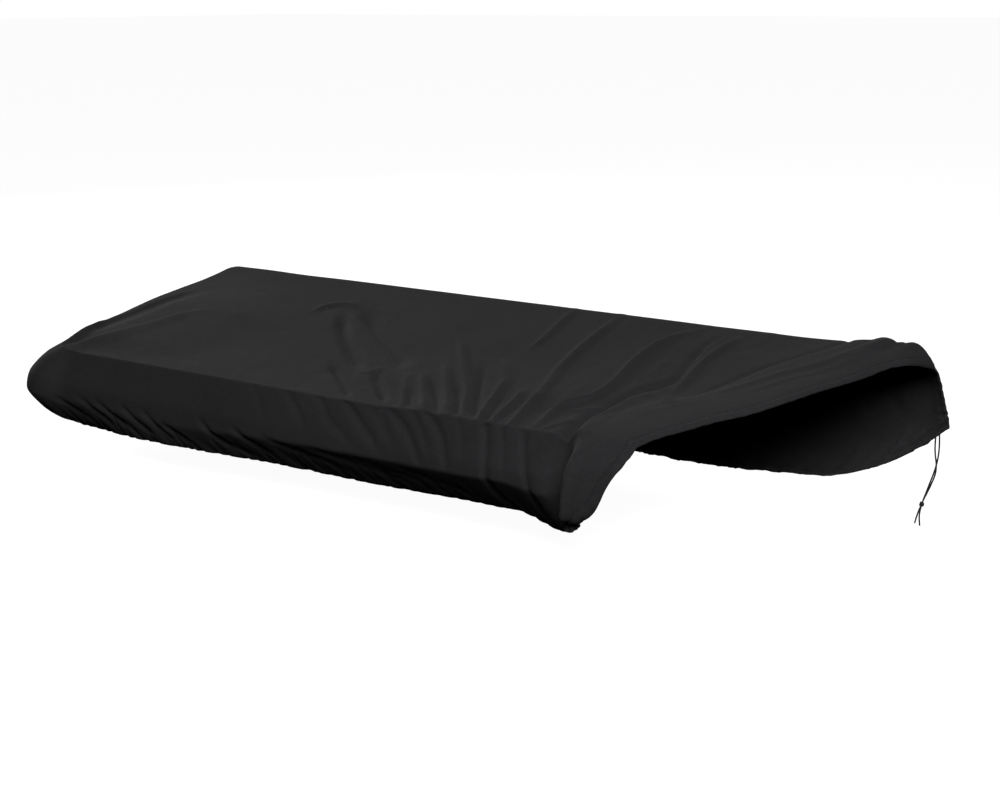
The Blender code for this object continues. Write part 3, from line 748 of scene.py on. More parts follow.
# %% List the folds of the panels
FRONT_PANEL = (
    Fold("drag line 0", -1.6, 9, 6, 0.3, ((-206, 96), (-186, 78), (-168, 58), (-156, 44))),
    Fold("drag line 1", -2.4, 9, 6, 0.3, ((-146, 94), (-121, 75), (-97, 56), (-80, 38))),
    Fold("drag line 2", -2.8, 10, 7, 0.3, ((-96, 96), (-67, 76), (-50, 60), (-13, 42), (6, 32))),
    Fold("drag line 3", -4.0, 10, 7, 0.4, ((-62, 106), (-32, 83), (-4, 66), (35, 40), (50, 28))),
    Fold("drag line 4", -1.8, 9, 6, 0.3, ((-20, 102), (2, 88), (31, 69), (58, 49), (70, 38))),
    Fold("drag line 5", -2.0, 8, 5, 0.3, ((14, 100), (35, 76), (50, 62))),
    Fold("drag line 6", -4.0, 10, 7, 0.4, ((10, 106), (41, 83), (72, 66), (102, 37), (114, 22))),
    Fold("drag line 7", -2.2, 8, 6, 0.3, ((66, 96), (88, 78), (102, 64), (112, 52), (120, 40))),
    Fold("drag line 8", -3.8, 10, 7, 0.4, ((78, 106), (104, 85), (130, 64), (144, 41), (150, 20))),
    Fold("drag line 9", -1.4, 8, 6, 0.3, ((144, 96), (160, 73), (172, 42))),
    Fold("upright crease", -5.0, 14, 4, 0.7,
         ((180, 124), (188, 92), (198, 61), (206, 21), (210, -20))),
    Fold("faint crease", -2.0, 8, 5, 0.3, ((212, 96), (224, 66), (234, 36))),
    Fold("second crease", -3.6, 10, 5, 0.5, ((236, 122), (250, 75), (266, 29), (272, -18))),
    Fold("upright streak of the lobe", 2.2, 7, 9, 0.3,
         ((340, 84), (344, 50), (346, 10), (346, -12))),
    Fold("valley 1", -4.0, 7, 6, 0.4, ((-566, 26), (-527, 6), (-500, -10))),
    Fold("valley 2", -4.4, 7, 6, 0.4, ((-516, 28), (-474, 6), (-450, -8))),
    Fold("valley 3", -5.0, 7, 6, 0.4, ((-484, 28), (-432, 4), (-404, -10))),
    Fold("valley 4", -5.0, 7, 6, 0.4, ((-430, 28), (-391, 6), (-366, -10))),
    Fold("valley 5", -4.6, 7, 6, 0.4, ((-388, 28), (-347, 1), (-326, -14))),
    Fold("valley 6", -4.0, 7, 6, 0.4, ((-352, 16), (-311, -2), (-292, -14))),
    Fold("long valley 1", -5.6, 8, 6, 0.5, ((-276, 32), (-245, 9), (-220, -3), (-190, -14))),
    Fold("long valley 2", -5.0, 8, 6, 0.5, ((-214, 28), (-175, 8), (-150, -8))),
    Fold("long valley 3", -3.6, 7, 6, 0.4, ((-166, 26), (-106, 12), (-58, 2), (-20, -12))),
    Fold("long valley 4", -3.2, 7, 6, 0.4, ((-88, 21), (-20, 12), (40, 0), (80, -12))),
    Fold("long valley 5", -2.8, 7, 6, 0.4, ((-20, 20), (46, 9), (100, -2))),
    Fold("long valley 6", -2.4, 7, 6, 0.4, ((60, 18), (120, 6), (170, -8))),
)
BACK_PANEL = (
    Fold("back drag line 1", -2.0, 12, 12, 0.2, ((-390, 150), (-356, 90), (-330, 40))),
    Fold("back drag line 2", -2.4, 14, 14, 0.2, ((-190, 154), (-150, 90), (-120, 44))),
    Fold("back drag line 3", -2.0, 12, 12, 0.2, ((30, 152), (60, 92), (84, 40))),
    Fold("back drag line 4", -2.6, 12, 14, 0.3, ((210, 154), (260, 100), (304, 44))),
    Fold("back ridge 1", 2.6, 13, 13, 0.3, ((320, 158), (380, 110), (436, 40))),
    Fold("back drag line 5", -2.8, 12, 12, 0.3, ((390, 160), (450, 110), (494, 50))),
    Fold("back ridge 2", 2.4, 12, 12, 0.3, ((430, 160), (500, 110), (545, 60))),
)
LEFT_PANEL = (
    Fold("end drag line 1", -1.8, 10, 10, 0.2, ((-56, 104), (-66, 70), (-78, 30))),
    Fold("end drag line 2", -2.0, 12, 12, 0.2, ((42, 128), (36, 80), (28, 36))),
    Fold("end drag line 3", -1.6, 10, 10, 0.2, ((108, 140), (116, 90), (124, 40))),
)
print(len(FRONT_PANEL + BACK_PANEL + LEFT_PANEL), "folds on the panels")

# %% [markdown]
# Now the walls are hung, ring by ring. A ring is the whole path moved out and down by the
# sections' curves, and then in or out by the gathers and the panel folds. The rings lie
# closer together where the wall bends.

# %% Hang the walls
def run_of(side, at):
    """Find how far along the edge a section lies."""
    first, last = {
        "front": (0, front_corner),
        "left": (front_corner, back_corner),
        "back": (back_corner, len(path) - 1),
    }[side]
    stretch = path[first:last + 1, 1 if side == "left" else 0]
    order = np.argsort(stretch)
    return float(np.interp(at, stretch[order], runs[first:last + 1][order]))


def panel_out(height):
    """How far out the panel folds bring one ring, whose heights are given."""
    index = np.arange(len(path))
    front = index <= front_corner
    back = index >= back_corner
    sides = (
        (FRONT_PANEL, front, path[:, 0]),
        (LEFT_PANEL, ~front & ~back, path[:, 1]),
        (BACK_PANEL, back, path[:, 0]),
    )
    out = np.zeros(len(path))
    for folds, on_side, along in sides:
        for fold in folds:
            out += np.where(on_side, fold_height(along, height, fold), 0)
    return out


def bent(values, share, crisp):
    """Read a section at a share of its length, with round or crisp bends."""
    round_bends = through(PROFILE_PLACES, values.T, share)
    places = np.array(PROFILE_PLACES)
    low = np.clip(np.searchsorted(places, share, side="right") - 1, 0, len(places) - 2)
    part = (share - places[low]) / (places[low + 1] - places[low])
    crisp_bends = values[:, low] + (values[:, low + 1] - values[:, low]) * part
    return round_bends + (crisp_bends - round_bends) * crisp


def wall_rings():
    """Places of the walls, in millimetres, as an array of rings and places along the path."""
    rows, at_runs = [], []
    for side, sections in SECTIONS.items():
        for section in sections:
            pairs = (section.shoulder, section.fullest, section.turn, section.lowest, section.edge)
            rows.append([value for pair in pairs for value in pair] + [section.slide, section.crisp])
            at_runs.append(run_of(side, section.at))
    values = through(at_runs, rows, runs)
    outs = np.concatenate([np.zeros((len(path), 1)), values[:, 0:10:2]], axis=1)
    heights = np.concatenate([path[:, 2:], values[:, 1:10:2]], axis=1)
    slides = np.where(path[:, 1] > 0, values[:, 10], -values[:, 10])
    crisp = values[:, 11]
    rings = []
    for share in stretches(RING_STRETCHES)[1:]:
        height = bent(heights, share, crisp)
        out = bent(outs, share, crisp) - gathers(runs, share) + panel_out(height)
        across = path[:, 0] + away[:, 0] * out + slides * ease(share)
        rings.append(np.stack([across, path[:, 1] + away[:, 1] * out, height], axis=1))
    return np.array(rings)


rings = wall_rings()
print("walls", rings.shape[:2], "lowest", round(float(rings[..., 2].min()), 1), "mm")

# %% [markdown]
# ## One sheet of cloth
#
# The top and the walls become one mesh that shares its corners along the edge.

# %% Join the top and the walls into one grid of faces
def numbered():
    """Number the corners: the top's grid first, then the rings of the walls."""
    rows, columns = top.shape[:2]
    grid = np.arange(rows * columns).reshape(rows, columns)
    wall = rows * columns + np.arange(rings.shape[0] * len(path)).reshape(rings.shape[0], -1)
    return grid, np.concatenate([edge_path(grid)[None], wall])


def quads(numbers):
    """Quads between neighbouring rows and columns of numbers."""
    return np.stack([numbers[:-1, :-1], numbers[:-1, 1:], numbers[1:, 1:], numbers[1:, :-1]],
                    axis=-1).reshape(-1, 4)


grid_numbers, wall_numbers = numbered()
places = np.concatenate([top.reshape(-1, 3), rings.reshape(-1, 3)])
faces = np.concatenate([quads(grid_numbers), quads(wall_numbers)])
print(len(places), "corners and", len(faces), "faces")

# %% [markdown]
# The UV map unrolls the cloth in metres: across the top it follows the grid, and down each
# wall it goes on from there, so the knit runs the way it does on cut cloth and is the same
# size everywhere.

# %% Unroll the cloth in metres
def lengths_along(grid, axis):
    """Distance over the cloth along one axis of a grid of places."""
    steps = np.linalg.norm(np.diff(grid, axis=axis), axis=-1)
    start = np.zeros_like(np.take(steps, [0], axis=axis))
    return np.concatenate([start, np.cumsum(steps, axis=axis)], axis=axis)


def unroll():
    """The UV of each corner of each face."""
    across = np.median(lengths_along(top, 1), axis=0)
    back = np.median(lengths_along(top, 0), axis=1)
    u_top = np.repeat(across[None], top.shape[0], axis=0)
    v_top = np.repeat(back[:, None], top.shape[1], axis=1)
    per_corner = np.stack([u_top, v_top], axis=-1).reshape(-1, 2)
    top_uv = per_corner[quads(grid_numbers)]
    hanging = np.concatenate([path[None], rings])
    down = lengths_along(hanging, 0)
    edge_uv = per_corner[wall_numbers[0]]
    ways = {"front": (0, -1), "left": (-1, 0), "back": (0, 1)}
    local_quads = quads(np.arange(down.size).reshape(down.shape))
    uv = {side: (edge_uv[None] + down[..., None] * np.array(way)).reshape(-1, 2)[local_quads]
          for side, way in ways.items()}
    column = (local_quads[:, 0] % down.shape[1])[:, None, None]
    side_uv = np.where(column < front_corner, uv["front"],
                       np.where(column < back_corner, uv["left"], uv["back"]))
    return np.concatenate([top_uv, side_uv]) * METRE


unrolled = unroll()
print("the flat cloth spans", np.round(np.ptp(unrolled.reshape(-1, 2), axis=0), 2), "m")

# %% [markdown]
# ## The hem
#
# The hem is the cloth's own edge, turned up to make a channel for the drawstring, so it
# is thicker and rounder than the rest, with a line of stitches along its inner side. It
# could be a piece of its own, but on the real cover it is the same cloth. So each corner
# near the edge is pushed out a little: a low bead over the drawstring, a narrow groove
# where the thread pulls the cloth in, and small puckers between the two.

# %% Shape the hem and its channel
HEM_WIDTH = 13.0
HEM_BEAD = 1.4
HEM_GROOVE = 1.1
GROOVE_HALF_WIDTH = 1.8
PUCKER_SEED = 3
PUCKER_WAVES = 7
PUCKER_LENGTHS = (9.0, 24.0)
PUCKER_HEIGHT = 0.45
PUCKER_REACH = 1.6
TINY = 1e-9
BATCH = 2000


def corner_normals(points, polygons):
    """Average normal at each corner."""
    corners = points[polygons]
    normals = np.cross(corners[:, 2] - corners[:, 0], corners[:, 3] - corners[:, 1])
    total = np.zeros_like(points)
    for corner in range(4):
        np.add.at(total, polygons[:, corner], normals)
    return total / np.maximum(np.linalg.norm(total, axis=1), TINY)[:, None]


def hem_line():
    """The numbers of the corners along the cloth's whole edge, in order."""
    return np.concatenate([
        wall_numbers[-1],
        wall_numbers[::-1, -1][1:],
        grid_numbers[::-1, -1][1:],
        wall_numbers[1:, 0][:-1],
    ])


def from_hem(points):
    """Distance of each corner to the cloth's edge, and the run along the edge there."""
    line = points[hem_line()]
    steps = np.linalg.norm(np.diff(line, axis=0), axis=1)
    line_runs = np.concatenate(([0.0], np.cumsum(steps)))
    distance = np.full(len(points), np.inf)
    run = np.zeros(len(points))
    for start in range(0, len(points), BATCH):
        part = slice(start, start + BATCH)
        gaps = np.linalg.norm(points[part, None] - line[None], axis=2)
        distance[part] = gaps.min(axis=1)
        run[part] = line_runs[gaps.argmin(axis=1)]
    return distance, run


def puckers(run):
    """Uneven small waves along the hem."""
    draw = np.random.default_rng(PUCKER_SEED)
    total = np.zeros_like(run)
    for _ in range(PUCKER_WAVES):
        length = draw.uniform(*PUCKER_LENGTHS)
        total += np.sin(2 * np.pi * run / length + draw.uniform(0, 2 * np.pi))
    return total / PUCKER_WAVES ** 0.5


normals = corner_normals(places, faces)
if normals[grid_numbers[len(top) // 2, FOLDED_COLUMNS]][2] < 0:
    faces = faces[:, ::-1]
    unrolled = unrolled[:, ::-1]
    normals = -normals
hem_distance, hem_run = from_hem(places)
in_channel = np.clip(1 - ((hem_distance - HEM_WIDTH / 2) / (HEM_WIDTH / 2)) ** 2, 0, 1)
in_groove = np.exp(-((hem_distance - HEM_WIDTH) / GROOVE_HALF_WIDTH) ** 2)
near_hem = ease(PUCKER_REACH - hem_distance / HEM_WIDTH)
push = HEM_BEAD * in_channel - HEM_GROOVE * in_groove
push = push + PUCKER_HEIGHT * puckers(hem_run) * near_hem
places = places + normals * push[:, None]
print("hem", HEM_WIDTH, "mm wide, over", int((hem_distance < HEM_WIDTH).sum()), "corners")

# %% [markdown]
# The sheet gets its thickness from a Solidify modifier that works inwards. A vertex group
# makes the hem thicker, because there the cloth lies double. It thins over 4 mm.

# %% Build the sheet and give it its thickness
CLOTH_MM = 1.5
HEM_MM = 2.6
THINS_OVER = 4

mesh = bpy.data.meshes.new("cover_sheet")
mesh.from_pydata(metres(places).tolist(), [], faces.tolist())
uv_layer = mesh.uv_layers.new(name="unrolled")
uv_layer.data.foreach_set("uv", unrolled.reshape(-1).astype(np.float32))
mesh.shade_smooth()
cover = link("cover_sheet", mesh)
double = cover.vertex_groups.new(name="double cloth")
doubled = ease((HEM_WIDTH - hem_distance) / THINS_OVER + 0.5)
weights = CLOTH_MM / HEM_MM + (1 - CLOTH_MM / HEM_MM) * doubled
for number, weight in enumerate(weights):
    double.add([number], float(weight), "REPLACE")
thickness = cover.modifiers.new("Thickness", "SOLIDIFY")
thickness.thickness = HEM_MM * METRE
thickness.vertex_group = "double cloth"
thickness.offset = -1.0
thickness.use_even_offset = False


def apply_modifiers(piece):
    """Turn what a piece's modifiers make into its own mesh."""
    evaluated = piece.evaluated_get(bpy.context.evaluated_depsgraph_get())
    made = bpy.data.meshes.new_from_object(evaluated)
    piece.modifiers.clear()
    piece.data = made
    return sum(len(polygon.vertices) - 2 for polygon in made.polygons)


print("cover_sheet has", apply_modifiers(cover), "triangles")

# %% [markdown]
# ## Stitches along the hem
#
# A sewing machine puts a stitch every few millimetres along three metres of hem. This is
# what Geometry Nodes are for. A thin line is drawn on the cloth where the seam lies, with
# the cloth's normal stored at each point. To find it, the script walks inwards from every
# place along the edge until it has come as far as the hem is wide. The tree then spaces
# points along the line, puts a small stitch on each, lays it along the seam and turns it
# flat on the cloth.

# %% Draw the seam line on the cloth
SEAM_LIFT = 0.1
SEAM_WALK = 34
LONGEST_SEAM_STEP = 12.0


def inward_walks():
    """For each place along the hem, the corners met when walking in from the edge."""
    bottom = wall_numbers[::-1][:SEAM_WALK].T
    flap = wall_numbers[::-1, ::-1][1:, :SEAM_WALK]
    opening = grid_numbers[::-1, ::-1][1:, :SEAM_WALK]
    lobe = wall_numbers[1:][:-1, :SEAM_WALK]
    return np.concatenate([bottom, flap, opening, lobe])


def seam_points():
    """Places and normals where each walk has come as far from the edge as the seam."""
    fresh = corner_normals(places, faces)
    seam, facing = [], []
    for walk in inward_walks():
        gone = np.maximum.accumulate(hem_distance[walk])
        if gone[-1] < HEM_WIDTH:
            continue
        normal = place_where(gone, fresh[walk], HEM_WIDTH)
        seam.append(place_where(gone, places[walk], HEM_WIDTH) + normal * SEAM_LIFT)
        facing.append(normal)
    return np.array(seam), np.array(facing)


seam, facing = seam_points()
seam_mesh = bpy.data.meshes.new("hem_stitches")
seam_steps = np.linalg.norm(np.diff(seam, axis=0), axis=1)
seam_edges = [(i, i + 1) for i, step in enumerate(seam_steps) if step < LONGEST_SEAM_STEP]
seam_mesh.from_pydata(metres(seam).tolist(), seam_edges, [])
seam_normals = seam_mesh.attributes.new("cloth_normal", "FLOAT_VECTOR", "POINT")
seam_normals.data.foreach_set("vector", facing.reshape(-1).astype(np.float32))
stitches = link("hem_stitches", seam_mesh)
print("the seam line has", len(seam), "points and", len(seam) - len(seam_edges), "parts")

# %% [markdown]
# A node tree can be built from a script like any other data. `add` makes a node, sets its
# options, and fills each input with a plain value or a link from another node's output.
# The tree's own inputs have names, so that its sizes can be changed in one place.

# %% Build the stitch tree
def add(tree, kind, settings=None, inputs=None):
    """Add a node with its options, and give each input a value or a link."""
    node = tree.nodes.new(kind)
    for name, value in (settings or {}).items():
        setattr(node, name, value)
    for socket, value in (inputs or {}).items():
        if isinstance(value, bpy.types.NodeSocket):
            tree.links.new(value, node.inputs[socket])
        else:
            node.inputs[socket].default_value = value
    return node


def calculate(tree, operation, first, second=0.0, third=0.0):
    """One step of arithmetic."""
    node = add(tree, "ShaderNodeMath", {"operation": operation}, {0: first, 1: second, 2: third})
    return node.outputs[0]


STITCH_SIDES, STITCH_RINGS = 6, 4
STITCH_SIZES = {
    "Spacing": 0.0042, "Length": 0.0040, "Width": 0.0008, "Height": 0.0007, "Slant": 0.20,
}


def stitch_tree():
    """A tree that sews small stitches along a line on cloth."""
    tree = bpy.data.node_groups.new("stitches_along_a_seam", "GeometryNodeTree")
    tree.interface.new_socket("Geometry", in_out="INPUT", socket_type="NodeSocketGeometry")
    tree.interface.new_socket("Geometry", in_out="OUTPUT", socket_type="NodeSocketGeometry")
    for name in STITCH_SIZES:
        tree.interface.new_socket(name, in_out="INPUT", socket_type="NodeSocketFloat")
    tree.interface.new_socket("Thread", in_out="INPUT", socket_type="NodeSocketMaterial")
    given = tree.nodes.new("NodeGroupInput").outputs
    line = add(tree, "GeometryNodeMeshToCurve", None, {0: given["Geometry"]})
    spaced = add(tree, "GeometryNodeResampleCurve", {"mode": "LENGTH"}, {"Curve": line.outputs[0]})
    tree.links.new(given["Spacing"], spaced.inputs["Length"])
    bead = add(tree, "GeometryNodeMeshUVSphere", None,
               {"Segments": STITCH_SIDES, "Rings": STITCH_RINGS, "Radius": 0.5})
    size = add(tree, "ShaderNodeCombineXYZ", None,
               {"X": given["Length"], "Y": given["Width"], "Z": given["Height"]})
    stitch = add(tree, "GeometryNodeTransform", None,
                 {"Geometry": bead.outputs["Mesh"], "Scale": size.outputs[0]})
    tangent = add(tree, "GeometryNodeInputTangent").outputs[0]
    normal = add(tree, "GeometryNodeInputNamedAttribute", {"data_type": "FLOAT_VECTOR"},
                 {"Name": "cloth_normal"}).outputs["Attribute"]
    along = add(tree, "FunctionNodeAlignRotationToVector", {"axis": "X"}, {"Vector": tangent})
    flat = add(tree, "FunctionNodeAlignRotationToVector", {"axis": "Z", "pivot_axis": "X"},
               {"Rotation": along.outputs[0], "Vector": normal})
    index = add(tree, "GeometryNodeInputIndex").outputs[0]
    odd = calculate(tree, "MODULO", index, 2.0)
    sign = calculate(tree, "MULTIPLY_ADD", odd, 2.0, -1.0)
    lean = calculate(tree, "MULTIPLY", sign, given["Slant"])
    turn = add(tree, "ShaderNodeCombineXYZ", None, {"Z": lean})
    leaning = add(tree, "FunctionNodeEulerToRotation", None, {0: turn.outputs[0]})
    zigzag = add(tree, "FunctionNodeRotateRotation", {"rotation_space": "LOCAL"},
                 {"Rotation": flat.outputs[0], "Rotate By": leaning.outputs[0]})
    sewn = add(tree, "GeometryNodeInstanceOnPoints", None,
               {"Points": spaced.outputs[0], "Instance": stitch.outputs[0],
                "Rotation": zigzag.outputs[0]})
    real = add(tree, "GeometryNodeRealizeInstances", None, {0: sewn.outputs[0]})
    smooth = add(tree, "GeometryNodeSetShadeSmooth", None, {0: real.outputs[0]})
    thread = add(tree, "GeometryNodeSetMaterial", None,
                 {"Geometry": smooth.outputs[0], "Material": given["Thread"]})
    add(tree, "NodeGroupOutput", None, {0: thread.outputs[0]})
    return tree


print("stitch sizes in metres:", STITCH_SIZES)

# %% [markdown]
# ## Black stretch knit
#
# Black cloth is the hardest thing to light: it is never quite black, and what shows is
# its sheen and its bumps. The real cloth is a very fine knit. Seen close, it is rows of
# small V-shaped loops, about a millimetre wide. Seen from a step away it is matte, with
# a soft grey bloom where it is seen at a low angle, faintly uneven in tone, and with a
# little lint. The V pattern is arithmetic on the unrolled UV map: each column of loops
# is a wale, and inside it the rows bend up towards the middle.
#
# The pattern and the lint are node groups, because the cloth, the thread and the cord
# share them. The pattern's height is 0 between the rows and 1 on the crest of a loop.
# LEG_RELIEF says how much lower it is where two loops meet.

# %% Build the knit pattern as a node group
LEG_RELIEF = 0.65


def new_group(name, inputs, outputs):
    """A shader node group with named inputs and outputs."""
    tree = bpy.data.node_groups.new(name, "ShaderNodeTree")
    for label, kind in inputs.items():
        tree.interface.new_socket(label, in_out="INPUT", socket_type="NodeSocket" + kind)
    for label, kind in outputs.items():
        tree.interface.new_socket(label, in_out="OUTPUT", socket_type="NodeSocket" + kind)
    return tree, tree.nodes.new("NodeGroupInput").outputs, tree.nodes.new("NodeGroupOutput").inputs


def knit_group():
    """Rows of V-shaped loops, as a height from 0 to 1."""
    tree, given, result = new_group(
        "fine_knit", {"Vector": "Vector", "Wale": "Float", "Course": "Float"}, {"Height": "Float"})
    unrolled_at = add(tree, "ShaderNodeSeparateXYZ", None, {0: given["Vector"]})
    wale = calculate(tree, "DIVIDE", unrolled_at.outputs["X"], given["Wale"])
    course = calculate(tree, "DIVIDE", unrolled_at.outputs["Y"], given["Course"])
    from_middle = calculate(tree, "ABSOLUTE", calculate(
        tree, "SUBTRACT", calculate(tree, "FRACT", wale), 0.5))
    risen = calculate(tree, "ADD", course, from_middle)
    row = calculate(tree, "ABSOLUTE", calculate(
        tree, "SUBTRACT", calculate(tree, "FRACT", risen), 0.5))
    rounded = calculate(tree, "SUBTRACT", 1.0, calculate(
        tree, "POWER", calculate(tree, "MULTIPLY", row, 2.0), 2.0))
    leg = calculate(tree, "SINE", calculate(tree, "MULTIPLY", from_middle, 2 * np.pi))
    legs = calculate(tree, "MULTIPLY_ADD", leg, LEG_RELIEF, 1 - LEG_RELIEF)
    tree.links.new(calculate(tree, "MULTIPLY", rounded, legs), result["Height"])
    return tree


knit_pattern = knit_group()
print("node group:", knit_pattern.name)

# %% [markdown]
# Handled cloth is never one even tone. A broad noise and a fine one make it 16 percent
# lighter or darker from place to place. Lint is a speck in a few cells of a cell pattern.

# %% Build the uneven tone and the lint as a node group
UNEVENNESS = 0.16
BROAD_SCALE, FINE_SCALE = 7.0, 260.0
NOISE_RANGE = (0.3, 0.7)
LINT_CELLS = 90.0
LINT_SIZE = (0.03, 0.07)
LINT_SHARE = 0.07


def noise(tree, vector, scale, detail, roughness=0.5):
    """Soft noise at a scale."""
    inputs = {"Vector": vector, "Scale": scale, "Detail": detail, "Roughness": roughness}
    return add(tree, "ShaderNodeTexNoise", None, inputs).outputs["Fac"]


def lint_group():
    """Broad uneven tone and a few specks of lint."""
    tree, given, result = new_group(
        "tone_and_lint", {"Vector": "Vector", "Tone": "Color", "Lint": "Color"},
        {"Color": "Color"})
    broad = noise(tree, given["Vector"], BROAD_SCALE, detail=4.0, roughness=0.6)
    fine = noise(tree, given["Vector"], FINE_SCALE, detail=2.0)
    mixed = calculate(tree, "ADD", calculate(tree, "MULTIPLY", broad, 0.5),
                      calculate(tree, "MULTIPLY", fine, 0.5))
    shade = add(tree, "ShaderNodeMapRange", None,
                {"Value": mixed, "From Min": NOISE_RANGE[0], "From Max": NOISE_RANGE[1],
                 "To Min": 1 - UNEVENNESS, "To Max": 1 + UNEVENNESS})
    toned = add(tree, "ShaderNodeVectorMath", {"operation": "SCALE"},
                {0: given["Tone"], "Scale": shade.outputs[0]})
    cells = add(tree, "ShaderNodeTexVoronoi", {"feature": "F1"},
                {"Vector": given["Vector"], "Scale": LINT_CELLS, "Randomness": 1.0}).outputs
    near = add(tree, "ShaderNodeMapRange", None,
               {"Value": cells["Distance"], "From Min": LINT_SIZE[0], "From Max": LINT_SIZE[1],
                "To Min": 1.0, "To Max": 0.0})
    drawn = add(tree, "ShaderNodeSeparateColor", None, {0: cells["Color"]}).outputs[0]
    chosen = calculate(tree, "GREATER_THAN", drawn, 1 - LINT_SHARE)
    speck = calculate(tree, "MULTIPLY", near.outputs[0], chosen)
    colour = add(tree, "ShaderNodeMix", {"data_type": "RGBA"},
                 {0: speck, 6: toned.outputs[0], 7: given["Lint"]})
    tree.links.new(colour.outputs[2], result["Color"])
    return tree


tone_and_lint = lint_group()
print("node group:", tone_and_lint.name)

# %% [markdown]
# The materials put these together. Values that are the same all over, such as the sheen,
# are set on the shader itself. A second bump, from soft noise, stands for the fine
# rippling that a stretch knit has when it isn't quite taut.

# %% Make the materials of the cloth, the thread and the cord
CLOTH_TONE = (0.020, 0.020, 0.0215, 1.0)
THREAD_TONE = (0.010, 0.010, 0.011, 1.0)
LINT_TONE = (0.06, 0.06, 0.06, 1.0)
CLOTH_FINISH = {"Roughness": 0.9, "Specular IOR Level": 0.10, "Sheen Weight": 0.03,
                "Sheen Roughness": 0.4}
THREAD_FINISH = {"Roughness": 0.85, "Specular IOR Level": 0.12, "Sheen Weight": 0.03,
                 "Sheen Roughness": 0.4}
BRAID_FINISH = {"Roughness": 0.7, "Specular IOR Level": 0.3, "Sheen Weight": 0.15,
                "Sheen Roughness": 0.4}
WALE, COURSE = 0.0011, 0.0009
BRAID_WALE, BRAID_COURSE = CORD_MM * METRE * np.pi / 4, 0.0011
RIPPLE_SCALE, RIPPLE_DEPTH, RIPPLE_STRENGTH = 55.0, 0.0012, 0.35
KNIT_DEPTH, KNIT_STRENGTH = 0.00025, 0.5
BRAID_DEPTH, BRAID_STRENGTH = 0.0003, 0.8


def finish_material(name, finish):
    """A new material with plain values on its shader, and its tree and shader."""
    material = bpy.data.materials.new(name)
    material.use_nodes = True
    shader = material.node_tree.nodes["Principled BSDF"]
    for socket, value in finish.items():
        shader.inputs[socket].default_value = value
    return material, material.node_tree, shader


def lay_tone(tree, shader, tone):
    """Give a shader its uneven colour with lint on it, and return where each point lies."""
    where = add(tree, "ShaderNodeTexCoord").outputs
    toned = add(tree, "ShaderNodeGroup", {"node_tree": tone_and_lint},
                {"Vector": where["Object"], "Tone": tone, "Lint": LINT_TONE})
    tree.links.new(toned.outputs["Color"], shader.inputs["Base Color"])
    return where


def loops(tree, where, wale, course):
    """The knit pattern's height on the unrolled cloth."""
    return add(tree, "ShaderNodeGroup", {"node_tree": knit_pattern},
               {"Vector": where["UV"], "Wale": wale, "Course": course}).outputs["Height"]


def bump(tree, height, strength, distance):
    """A bump node, raised by a height."""
    return add(tree, "ShaderNodeBump", None,
               {"Strength": strength, "Distance": distance, "Height": height})


def cloth_material():
    """Black stretch knit, matte with a soft bloom."""
    material, tree, shader = finish_material("black_stretch_knit", CLOTH_FINISH)
    where = lay_tone(tree, shader, CLOTH_TONE)
    ripple = noise(tree, where["Object"], RIPPLE_SCALE, detail=3.0, roughness=0.55)
    rippled = bump(tree, ripple, RIPPLE_STRENGTH, RIPPLE_DEPTH)
    knitted = bump(tree, loops(tree, where, WALE, COURSE), KNIT_STRENGTH, KNIT_DEPTH)
    tree.links.new(rippled.outputs[0], knitted.inputs["Normal"])
    tree.links.new(knitted.outputs[0], shader.inputs["Normal"])
    return material


def thread_material():
    """Black sewing thread, as matte as the cloth and a little darker."""
    material, tree, shader = finish_material("black_thread", THREAD_FINISH)
    lay_tone(tree, shader, THREAD_TONE)
    return material


def braid_material():
    """Thin black braided cord: the knit pattern, wrapped round at a braid's pitch."""
    material, tree, shader = finish_material("black_braid", BRAID_FINISH)
    where = lay_tone(tree, shader, THREAD_TONE)
    strands = loops(tree, where, BRAID_WALE, BRAID_COURSE)
    braided = bump(tree, strands, BRAID_STRENGTH, BRAID_DEPTH)
    tree.links.new(braided.outputs[0], shader.inputs["Normal"])
    return material


black_knit, black_thread, black_braid = cloth_material(), thread_material(), braid_material()
cover.data.materials.clear()
cover.data.materials.append(black_knit)
for piece in (cords[0][0], cords[1][0], knot):
    piece.data.materials.append(black_braid)
print("materials:", black_knit.name, black_thread.name, black_braid.name)

# %% [markdown]
# Now the tree can sew. It goes on the seam line as a modifier, and its inputs are set by
# name. What it makes is kept as a plain mesh, so the stitches are real geometry.

# %% Sew the stitches
def grow(piece, tree, values):
    """Run a Geometry Nodes tree on a piece and keep what it makes as a plain mesh."""
    modifier = piece.modifiers.new(tree.name, "NODES")
    modifier.node_group = tree
    for item in tree.interface.items_tree:
        if item.in_out == "INPUT" and item.name in values:
            modifier[item.identifier] = values[item.name]
    return apply_modifiers(piece)


count = grow(stitches, stitch_tree(), {**STITCH_SIZES, "Thread": black_thread})
print("hem_stitches has", count, "triangles")

# %% [markdown]
# ## A plain studio
#
# The photograph shows the cover on pure white, in soft light. A lamp high on the left and
# one in front on the right light the top and the front panel, and a weak one behind picks
# out the far edge, so that every ridge has a bright side and a dark side.
# Black cloth on white is hard to light: a white floor throws light up into every fold.
# A photo studio would use a lit sheet of white acrylic and black cards. The script does
# the same. The floor glows by itself and is hidden from the rays that light the cloth, and
# the surround is white to the camera, but gives the cloth only a little light, from above.
# The Standard view transform keeps that white white. Blender's usual one would turn it grey.

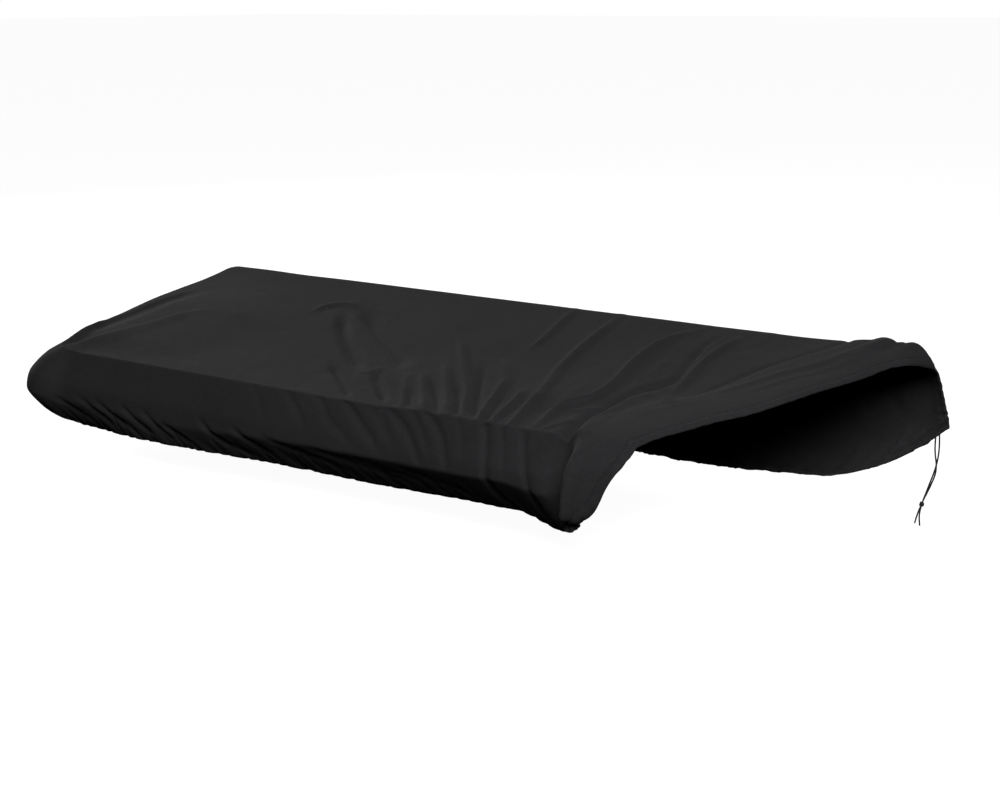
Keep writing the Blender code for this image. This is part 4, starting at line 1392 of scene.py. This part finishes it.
# %% Set the floor, the surround and the lamps
FLOOR_HEIGHT = -0.19
FLOOR_REACH = 40.0
FLOOR_GLOW = 0.96
WHITE = (1.0, 1.0, 1.0, 1.0)
FLOOR_FINISH = {
    "Roughness": 0.9, "Specular IOR Level": 0.0, "Base Color": (0.3, 0.3, 0.3, 1.0),
    "Emission Color": WHITE, "Emission Strength": FLOOR_GLOW,
}
SURROUND_LIGHT = 0.03
SURROUND_FULL_AT = 0.3
Lamp = namedtuple("Lamp", "name size power place")
LAMPS = (
    Lamp("left", 1.2, 35, (-3.1, 1.1, 1.3)),
    Lamp("in front on the right", 1.4, 98, (1.7, -1.85, 1.78)),
    Lamp("behind", 1.2, 8, (-0.2, 2.6, 0.6)),
)


def floor_piece():
    """A large glowing white floor that is not part of the cover."""
    bm = bmesh.new()
    bmesh.ops.create_grid(bm, x_segments=1, y_segments=1, size=FLOOR_REACH)
    bmesh.ops.translate(bm, verts=bm.verts, vec=(0, 0, FLOOR_HEIGHT))
    floor_mesh = bpy.data.meshes.new("floor")
    bm.to_mesh(floor_mesh)
    bm.free()
    floor = link("floor", floor_mesh)
    floor.visible_diffuse = False
    floor.visible_glossy = False
    floor_mesh.materials.append(finish_material("lit_white_floor", FLOOR_FINISH)[0])
    return floor


def white_surround():
    """A surround that looks white, and lights only from above, weakly."""
    world = bpy.data.worlds.new("studio")
    world.use_nodes = True
    tree = world.node_tree
    seen = add(tree, "ShaderNodeLightPath").outputs["Is Camera Ray"]
    way = add(tree, "ShaderNodeTexCoord").outputs["Generated"]
    height = add(tree, "ShaderNodeSeparateXYZ", None, {0: way}).outputs["Z"]
    sky = add(tree, "ShaderNodeMapRange", None,
              {"Value": height, "From Min": 0.0, "From Max": SURROUND_FULL_AT,
               "To Min": 0.0, "To Max": SURROUND_LIGHT})
    surround = tree.nodes["Background"]
    surround.inputs["Color"].default_value = WHITE
    tree.links.new(calculate(tree, "MAXIMUM", seen, sky.outputs[0]), surround.inputs["Strength"])
    return world


def hang_lamp(lamp):
    """One square soft lamp, turned towards the cover."""
    light = bpy.data.lights.new(lamp.name, "AREA")
    light.shape = "SQUARE"
    light.size = lamp.size
    light.energy = lamp.power
    holder = bpy.data.objects.new(lamp.name, light)
    holder.location = lamp.place
    way = -np.array(lamp.place)
    tilt = np.arctan2(np.hypot(way[0], way[1]), -way[2])
    turn = np.arctan2(-way[0], way[1])
    holder.rotation_euler = (tilt, 0, turn)
    bpy.context.scene.collection.objects.link(holder)


floor_piece()
bpy.context.scene.world = white_surround()
bpy.context.scene.view_settings.view_transform = "Standard"
for lamp in LAMPS:
    hang_lamp(lamp)
print(len(LAMPS), "lamps, floor at", FLOOR_HEIGHT, "m")

# %% [markdown]
# ## Hand the pieces over
#
# Every piece is hung on the root body, and the CAD node that it stands for, where it has
# one, is hidden.

for piece, nodes, finish in (
        (cover, ("cover",), "cover_cloth"),
        (cords[0][0], ("drawstring_right",), "drawstring_cord"),
        (cords[1][0], ("drawstring_left",), "drawstring_cord"),
        (knot, ("drawstring_knot",), "drawstring_cord"),
        (stitches, (), "cover_cloth")):
    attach(piece, "root")
    if nodes:
        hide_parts(*nodes)
